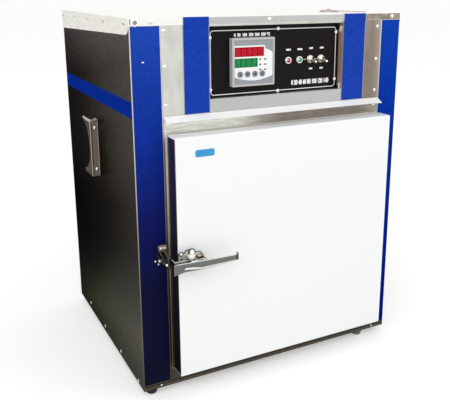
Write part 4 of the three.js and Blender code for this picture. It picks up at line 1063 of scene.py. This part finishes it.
# %% Controller case
RIM, RECESS, CASE_RADIUS = 4.2, 1.3, 1.6
case_low, case_high = span("controller_case")
bezel_back = plate_low.y - 0.3
bm = bmesh.new()
block(bm, (case_low.x, case_high.x), (case_low.y, bezel_back), (case_low.z, case_high.z), CASE_RADIUS, 4)
front = min(bm.faces, key=lambda face: face.calc_center_median().y)
bmesh.ops.inset_individual(bm, faces=[front], thickness=RIM - CASE_RADIUS, depth=0, use_even_offset=True)
bmesh.ops.inset_individual(bm, faces=[front], thickness=0.3, depth=-RECESS, use_even_offset=True)
sleeve_x, sleeve_z = (case_low.x + 3, case_high.x - 3), (case_low.z + 3, case_high.z - 3)
block(bm, sleeve_x, (bezel_back - 1, case_high.y), sleeve_z, 1.0)
close_piece(bm, "controller_moulding", case_plastic, node="controller_case")

face_y = case_low.y + RECESS
face_x = (case_low.x + RIM + 0.6, case_high.x - RIM - 0.6)
face_z = (case_low.z + RIM + 0.6, case_high.z - RIM - 0.6)
make("controller_face", face_grey, "controller_abs", (skin, face_x, (face_y - 0.3, face_y + 0.1), face_z))

left, right = face_x[0] + 0.2, face_x[1] - 0.2
barrel = [(left, 641), (left + 14, 636.6), (left + 29, 633.8), (left + 43, 632.8), (left + 57, 633.8)]
barrel += [(left + 72, 637), (right, 641.5), (right, 688), (right - 8, 692.5), (right - 17, 696)]
barrel += [(281.5, 701.5), (278, 702.6), (214, 702.6), (211, 701), (209.6, 692), (left, 689.5)]
make(
    "controller_white_area", face_white, "controller_abs",
    (outline, barrel, "y", (face_y - 0.3, face_y - 0.45)),
)

# %% [markdown]
# The windows are thin coloured panes, and each digit has seven strokes. A digital typeface could be used,
# but plain bars follow the real segments and need no font. The dots with a short line beside them are
# the indicator lights, which are off too.

# %% Windows and unlit digits
STROKE, DIGIT_WIDTH, DIGIT_HEIGHT = 1.25, 0.52, 0.3
FLAT_STROKES = (1.0, 0.0, -1.0)
UPRIGHT_STROKES = (((0.0, 1.0), -0.5), ((0.0, 1.0), 0.5), ((-1.0, 0.0), -0.5), ((-1.0, 0.0), 0.5))


def display(name, x, z, count, glass, ghost):
    """A window over a row of seven-segment digits that are off."""
    slot = name + "_lens"
    make(name + "_window", glass, slot, (block, x, (face_y - 1.0, face_y - 0.4), z, 0.25, 2))
    pitch = (x[1] - x[0] - 3) / count
    wide, tall = pitch * DIGIT_WIDTH, (z[1] - z[0]) * DIGIT_HEIGHT
    middle_z = (z[0] + z[1]) / 2
    depth = (face_y - 1.12, face_y - 0.98)
    bars = []
    for digit in range(count):
        middle_x = x[0] + 1.5 + pitch * (digit + 0.5)
        across = (middle_x - wide / 2 + STROKE * 0.6, middle_x + wide / 2 - STROKE * 0.6)
        for up in FLAT_STROKES:
            level = middle_z + up * tall
            bars.append((block, across, depth, (level - STROKE / 2, level + STROKE / 2)))
        for reach, aside in UPRIGHT_STROKES:
            bar_x = middle_x + aside * wide
            up = (middle_z + reach[0] * tall + STROKE * 0.6, middle_z + reach[1] * tall - STROKE * 0.6)
            bars.append((block, (bar_x - STROKE / 2, bar_x + STROKE / 2), depth, up))
    make(name + "_digits", ghost, slot, *bars)


display("red", (213.5, 278.8), (681, 699.5), 5, red_window, red_ghost)
display("green", (213.5, 264.5), (660, 677.5), 4, green_window, green_ghost)

lights = []
for x in (270.2, 281.7):
    for z in (674.5, 664.3, 654):
        lights.append((turned, [(0, 0.25), (1.8, 0.2), (2.0, 0), (0, 0)], (x, face_y - 0.42, z), "y", 12))
        lights.append((block, (x + 3, x + 6), (face_y - 0.5, face_y - 0.42), (z - 0.2, z + 0.2)))
make("controller_lights", ink_black, "controller_abs", *lights)

# %% [markdown]
# The keys are low moulded buttons with a shallow dish, and each carries one plain sign: an arrow up,
# an arrow down, an arrow to the left and a ring.

# %% Keys
SIGNS = [
    [(-2.3, -1.7), (2.3, -1.7), (0, 2.4)], [(-2.3, 1.7), (0, -2.4), (2.3, 1.7)],
    [(1.7, -2.3), (1.7, 2.3), (-2.4, 0)], None,
]
for number, sign in enumerate(SIGNS, 1):
    node, body = f"controller_button_{number}", f"button_{number}"
    x, z, radius, tall = round_part(node)
    front, back = (corner.y for corner in span(node))
    key = [
        (0, tall - 0.35), (radius * 0.55, tall - 0.3), (radius * 0.8, tall - 0.06), (radius * 0.86, tall),
        (radius * 0.95, tall - 0.1), (radius, tall - 0.4), (radius, 0), (0, 0),
    ]
    make(node + "_key", key_plastic, "button_grey", (turned, key, (x, back, z)), body=body, node=node)
    if sign:
        mark = (outline, moved_to(x, z, sign), "y", (front + 0.42, front + 0.2))
    else:
        mark = (turned, [(1.3, 0), (2.1, 0), (2.1, 0.2), (1.3, 0.2)], (x, front + 0.42, z), "y", 20, True)
    make(node + "_sign", ink_black, "button_grey", mark, body=body)

# %% [markdown]
# ## Lamps
# Each lamp is a plated bush with a wide lip and a bright, nearly flat ring inside, and a moulded lens
# in the middle. Both are turned shapes.

# %% Lamp bushes and lenses
JEWEL, JEWEL_RISE = 4.3, 3.6


def dome(radius, foot, height, angles):
    """Profile points of a dome, from its top outwards."""
    return [(radius * math.sin(a), foot + height * math.cos(a)) for a in angles]


for colour, material in (("red", red_lens), ("green", green_lens)):
    node = "lamp_bezel_" + colour
    x, z, wide, lip = round_part(node)
    floor_in = lip - 5.7
    back = span(node)[1].y
    bush = [
        (4.75, floor_in), (4.75, lip - 0.7), (5.1, lip - 0.3), (wide * 0.92, lip), (wide, lip - 0.5),
        (wide, lip - 3.6), (wide * 0.96, lip - 4), (5.4, lip - 4), (5.4, 0), (0, 0), (0, floor_in),
    ]
    make("lamp_bush_" + colour, lamp_ring, "chrome_fitting", (turned, bush, (x, back, z), "y", 40), node=node)
    node = "lamp_lens_" + colour
    _, _, radius, tall = round_part(node)
    lens = dome(JEWEL, tall - JEWEL_RISE, JEWEL_RISE, quarter(0, 7, 7))
    lens += [(radius, tall - 5), (radius, 0), (0, 0)]
    place = (x, span(node)[1].y, z)
    make("lamp_dome_" + colour, material, colour + "_lens", (turned, lens, place), node=node)

# %% [markdown]
# ## Toggle switches
# A bat-handle toggle has a threaded bush, a hexagon nut that clamps it to the plate, and a lever that
# swells towards its round tip. The thread is drawn as rings, because at this size the slope of the
# helix can't be seen.

# %% Toggles
TILT = math.radians(12)


def arc(centre, reach, angles):
    """Points on an ellipse whose half width and half height are given."""
    return [(centre[0] + reach[0] * math.cos(a), centre[1] + reach[1] * math.sin(a)) for a in angles]


def hexagon(x, z, radius):
    return arc((x, z), (radius, radius), [math.radians(degrees) for degrees in range(0, 360, 60)])


BALL, BAT_LENGTH, BAT_TIP, PIVOT_DEPTH = 3.8, 17.5, 3.1, 5
BAT = [(0, -BALL)] + dome(BALL, 0, -BALL, [math.radians(degrees) for degrees in range(20, 140, 20)])
BAT += [(1.75, 3.6), (1.8, 6.5), (2.0, 10.5), (2.5, 14.2), (BAT_TIP, BAT_LENGTH)]
BAT += arc((0, BAT_LENGTH), (BAT_TIP, BAT_TIP), quarter(1, 4, 5)) + [(0, BAT_LENGTH + BAT_TIP)]
WASHER = [(5.9, 0), (8.2, 0), (8.2, 0.6), (7.9, 0.8), (5.9, 0.8)]
nut_back = plate_low.y - 0.3
for name, x in switch_x.items():
    z = signal_z
    low, high = span("toggle_body_" + name)
    reach = nut_back - low.y
    bush = [(4.45, -2), (4.45, reach - 0.5), (4.9, reach), (5.5, reach - 0.4)]
    turn = reach - 0.8
    while turn > 2.6:
        bush += [(5.8, turn), (5.35, turn - 0.5)]
        turn -= 1.0
    bush += [(5.8, turn), (5.8, -6.2), (4.45, -6.2)]
    make(
        "toggle_bush_" + name, worn_nickel, "chrome_fitting", (turned, bush, (x, nut_back, z), "y", 28, True),
        (outline, hexagon(x, z, 7.8), "y", (nut_back, nut_back - 2.4), 0, 0.5),
        (turned, WASHER, (x, nut_back, z), "y", 36, True),
        # The thin bar left of the nut is a painted highlight: a glint beside the lever.
        (skin, (x - 16.5, x - 7), (nut_back - 0.9, nut_back), (z - 0.9, z + 0.9), 0.2),
        (block, (x - 6.5, x + 6.5), (plate_high.y + 0.3, high.y), (z - 12, z + 12), 0.8),
        node="toggle_body_" + name,
    )
    make(
        "toggle_bat_" + name, bat_nickel, "chrome_fitting",
        (turned, BAT, (x, low.y + PIVOT_DEPTH, z), Matrix.Rotation(TILT, 4, "X") @ TURNS["y"], 28),
        body=name + "_switch", node="toggle_lever_" + name,
    )

# %% [markdown]
# ## Latch
# The latch is cast and chromed. Its base is a waisted plate on the door with three pockets, which are flat
# grey ovals of painted shade, two ears that hold a domed pivot pin, a few domed bolts, and a round spring
# housing beside them, whose bands are a painted reflection. A dark flange of painted shadow lies behind the
# bright faces and draws their outline.

# %% Latch base
LUG, PIN_RADIUS, PIN_RISE = 8.3, 5.6, 8.2
latch_z = 38 + 0.514 * (door_high.z - door_low.z)
pivot_x, pivot_y = door_low.x + 21, door_low.y - 18
back_y, face_y = door_low.y - 0.3, door_low.y - 5.3
cap_x = pivot_x + 1.5
waist = [
    (67.4, -16), (84, -17.6), (108, -17), (120, -19), (125.4, -12), (123.5, -5), (117, -1), (114, 10),
    (100, 11), (96.5, 17.8), (84.5, 17.8), (80, 11.5), (74.5, 12.5), (67.4, 12.5),
]
lug = [(pivot_x - LUG, face_y + 1), (pivot_x - LUG, pivot_y)]
lug += arc((pivot_x, pivot_y), (-LUG, -LUG), quarter(1, 9, 10, math.pi))
lug += [(pivot_x + LUG, pivot_y), (pivot_x + LUG, face_y + 1)]
cap = [(0, -1), (PIN_RADIUS, -1), (PIN_RADIUS, 2)]
cap += arc((0, 2), (PIN_RADIUS, PIN_RISE), quarter(1, 6, 7)) + [(0, 10.6)]
make(
    "latch_casting", cast_chrome, "chrome_fitting",
    (outline, moved_to(0, latch_z, waist), "y", (back_y, face_y), 2.2, 1.2, 3),
    *[(outline, lug, "z", (z, z + side * 7), 0, 1.6) for side, z in ((-1, latch_z - 9), (1, latch_z + 9))],
    (turned, [(0, 0), (3, 0), (3, 30), (0, 30)], (pivot_x, pivot_y, latch_z - 15), "z", 28),
    (turned, cap, (cap_x, pivot_y, latch_z + 15.2), "z", 32),
    (turned, [(0, 3.4), (2, 3.2), (3, 2.4), (3.4, 1.2), (3.4, 0), (0, 0)], (71.3, face_y - 0.4, latch_z + 13.6),
     "y", 24),
    (turned, [(0, 3), (3, 2.6), (5, 1.4), (5.6, 0), (0, 0)], (119, face_y, latch_z - 10), "y", 24),
    (turned, [(0, 3.4), (2, 3.2), (3.4, 2.2), (4.2, 0.6), (4.2, 0), (0, 0)], (100.1, face_y, latch_z + 6.4),
     "y", 24),
    body="door", node="latch_base",
)

# A dark flange behind the casting draws its outline: a painted shadow line.
arch = [(cap_x + 8.4, latch_z + 15)]
arch += arc((cap_x, latch_z + 18.4), (8.4, 8.4), quarter(0, 12, 12, math.pi)) + [(cap_x - 8.4, latch_z + 15)]
shadow_line = [
    (66.6, -17), (84, -18.8), (108, -18.2), (120, -20.2), (126.8, -12), (125, -4), (118.4, -0.2), (115.2, 11.4),
    (101.4, 12.2), (97.8, 19.2), (83.4, 19.2), (79, 12.9), (74.8, 14), (66.6, 14),
]
make(
    "latch_painted_outline", latch_outline_shade, "chrome_fitting", (outline, arch, "y", (pivot_y + 2.4, pivot_y + 4), 0, 0.3),
    (turned, [(0, 0), (5.0, 0), (5.0, 0.6), (4.6, 0.9), (0, 0.9)], (71.3, face_y, latch_z + 13.6), "y", 28),
    (outline, moved_to(0, latch_z, shadow_line), "y", (back_y, back_y - 2.2), 2.2, 0.3, 3), body="door",
)

housing = [(0, 0), (6.6, 0), (7.2, 0.8), (7.2, 11.2), (6.6, 12.2), (4, 12.8), (0, 13)]
make(
    "latch_spring_housing", banded_chrome, "chrome_fitting",
    (turned, housing, (102.6, face_y - 4.6, latch_z + 3.4), "x", 36), body="door",
)

# The pockets are flat grey ovals on the face: painted shade.
bm = bmesh.new()
for x, z, wide, tall in ((71.8, 1.1, 3.1, 3.6), (84.8, -3.4, 7.4, 5.0), (94.7, 3.6, 2.0, 3.0)):
    oval = Matrix.Translation((x, face_y - 0.12, latch_z + z)) @ Matrix.Diagonal((wide, 1, tall, 1))
    bmesh.ops.create_circle(bm, cap_ends=True, cap_tris=False, segments=28, radius=1, matrix=oval @ TURNS["y"])
thicken(bm, bm.faces[:], (0, 0.3, 0))
close_piece(bm, "latch_pockets", pocket_grey, "door")

# %% [markdown]
# The lever is a broad blade that tapers to a turned-up end. A thin raised strip near its lower edge carries
# a painted highlight; it is broad at the pivot and runs out into a line at the tip. Its hook lies beside
# the roller of the strike.

# %% Latch lever
ROLLER_X = 60 - 1 - 13 + 0.7
blade_back, blade_face = pivot_y - 15.5, pivot_y - 18.5
left, right = pivot_x - 43, pivot_x + 92
blade = [
    (left, -15.3), (left + 21, -10.6), (left + 54, -11.3), (right - 3, -7.7), (right, -5.6), (right, 4.2),
    (left + 45, 6.4), (left, 7.4),
]
make(
    "latch_blade", chrome, "chrome_fitting",
    (outline, moved_to(0, latch_z, blade), "y", (blade_back, blade_face), 0, 0.8),
    (block, (right - 2.4, right), (blade_face - 4, blade_back), (latch_z - 5, latch_z + 10.6), 0.9),
    (turned, [(3.3, 0), (7, 0), (7, 17.4), (3.3, 17.4)], (pivot_x, pivot_y, latch_z - 8.7), "z", 36, True),
    (block, (pivot_x - 6, pivot_x + 9), (blade_back - 1.2, pivot_y - 4), (latch_z - 7.2, latch_z + 7.2), 0.8),
    body="latch", node="latch_lever",
)
hook_left, hook_right = ROLLER_X + 4.6, ROLLER_X + 8.6
hook = [
    (hook_left, pivot_y - 3), (pivot_x - 4, pivot_y - 3), (pivot_x - 4, pivot_y + 3), (hook_right, pivot_y + 3),
    (hook_right, pivot_y + 21.8), (hook_left, pivot_y + 21.8),
]
make(
    "latch_hook", hook_chrome, "chrome_fitting",
    (outline, hook, "z", (latch_z - 5.5, latch_z + 5.5), 0, 0.7), body="latch",
)
highlight_strip = [
    (66, -5.6), (70, -5.6), (84, -7.4), (101, -9.4), (176, -6.8), (176, -5.6), (101, -7.2), (84, -3.6),
    (70, -2.2), (66, -3.4),
]
make(
    "latch_blade_highlight", blade_highlight_chrome, "chrome_fitting",
    (outline, moved_to(0, latch_z, highlight_strip), "y", (blade_face, blade_face - 0.7), 0, 0.2), body="latch",
)

# %% [markdown]
# The strike on the post is a small plate with two arms that hold a round pin; the plate is painted dark as
# the shade it lies in. The plate and the arms look as if they were cut from sheet, so they are flat
# outlines, and the pin is turned.

# %% Latch strike
PIN_Y, ARM_HALF, BOLT_SEAT = -44, 3, 2.6
plate = [(39, 24), (55, 24), (57, 12), (57.4, -24), (50, -25), (34, -14), (34, -2)]
make(
    "latch_strike_plate", strike_plate_shade, "chrome_fitting",
    (outline, moved_to(0, latch_z, plate), "y", (-0.3, -2.8), 4.0, 0.6), node="latch_strike",
)
arm_x = (ROLLER_X - ARM_HALF, ROLLER_X + ARM_HALF)
upper = [(-2.6, 20), (PIN_Y, 12.5), (PIN_Y, 7.5), (-2.6, 14)]
lower = [(-2.6, -10), (PIN_Y, -7.5), (PIN_Y, -12.5), (-2.6, -15)]
pin = [(0, 0), (3.2, 0), (4, 0.8), (4, 23.2), (3.2, 24), (0, 24)]
make(
    "latch_strike_arms", shadow_chrome, "chrome_fitting",
    *[(outline, moved_to(0, latch_z, arm), "x", arm_x, 0, 0.7) for arm in (upper, lower)],
    (turned, pin, (ROLLER_X, PIN_Y, latch_z - 12), "z"),
)

# %% [markdown]
# Domed bolts, a round nut and a thin stay sit on the strike's plate. Every bolt is the same head in
# another size, so one helper makes them all, and the stay is a turned rod that leans.

# %% Strike bolts, nut and stay
def bolt(bm, x, y, z, radius):
    """A bolt's domed head on a short neck, above or below the latch's middle by z."""
    head = dome(radius, 0, radius, [math.radians(degrees) for degrees in range(0, 125, 12)])
    turned(bm, head + [(radius * 0.7, y + BOLT_SEAT), (0, y + BOLT_SEAT)], (x, y, latch_z + z))


make(
    "strike_bolts", polished_edge, "chrome_fitting", (bolt, 41, -15.4, 21.4, 2.4), (bolt, 50, -15.4, 20.6, 2.4),
    (bolt, 32.6, -6, -8.2, 2.4), (bolt, ROLLER_X - 5.2, -46.5, -2.4, 2.9),
)
nut = [(0, 0), (5.6, 0), (7.4, 1.6), (7.8, 5), (7.8, 13), (7.4, 16.4), (5.6, 18), (0, 18)]
stay = [(0, 0), (1.3, 0), (1.3, 24), (0, 24)]
make(
    "strike_nut_and_stay", bronzed_nickel, "chrome_fitting", (turned, nut, (37.6, -9, latch_z + 17.6), "x", 36),
    (turned, stay, (52.4, -9, latch_z - 10.5), Matrix.Rotation(math.radians(-29), 4, "Y"), 16),
)
make(
    "strike_lower_bolts", worn_grey, "chrome_fitting",
    (bolt, 41.4, -7, -9, 4.1), (bolt, 39.2, -4.4, -16.4, 2.5), (bolt, 49, -4.4, -11, 1.9),
)

# %% [markdown]
# ## Cable gland
# No mains cord shows in the picture, so only its gland is there: a hexagon nut against the back panel
# and a ribbed cap with a hole through it.

# %% Cable gland
BORE, BARREL = 4.6, 10.9
x, z, _, _ = round_part("cable_gland")
deep = span("cable_gland")[1].y - BACK_FACE
gland = [(BORE, -14.8), (BARREL, -14.8), (BARREL, 6)]
for rib in (6.4 + step * 2.4 for step in range(3)):
    gland += [(BARREL, rib), (BARREL, rib + 1.4), (10.2, rib + 1.8)]
gland += [(10.4, deep - 1.6), (9.4, deep), (BORE, deep)]
make(
    "cable_gland_moulding", rubber, "black_rubber", (turned, gland, (x, BACK_FACE, z), "-y", 36, True),
    (outline, hexagon(x, z, 15), "y", (BACK_FACE + 0.3, BACK_FACE + 6.3), 0, 0.7), node="cable_gland",
)
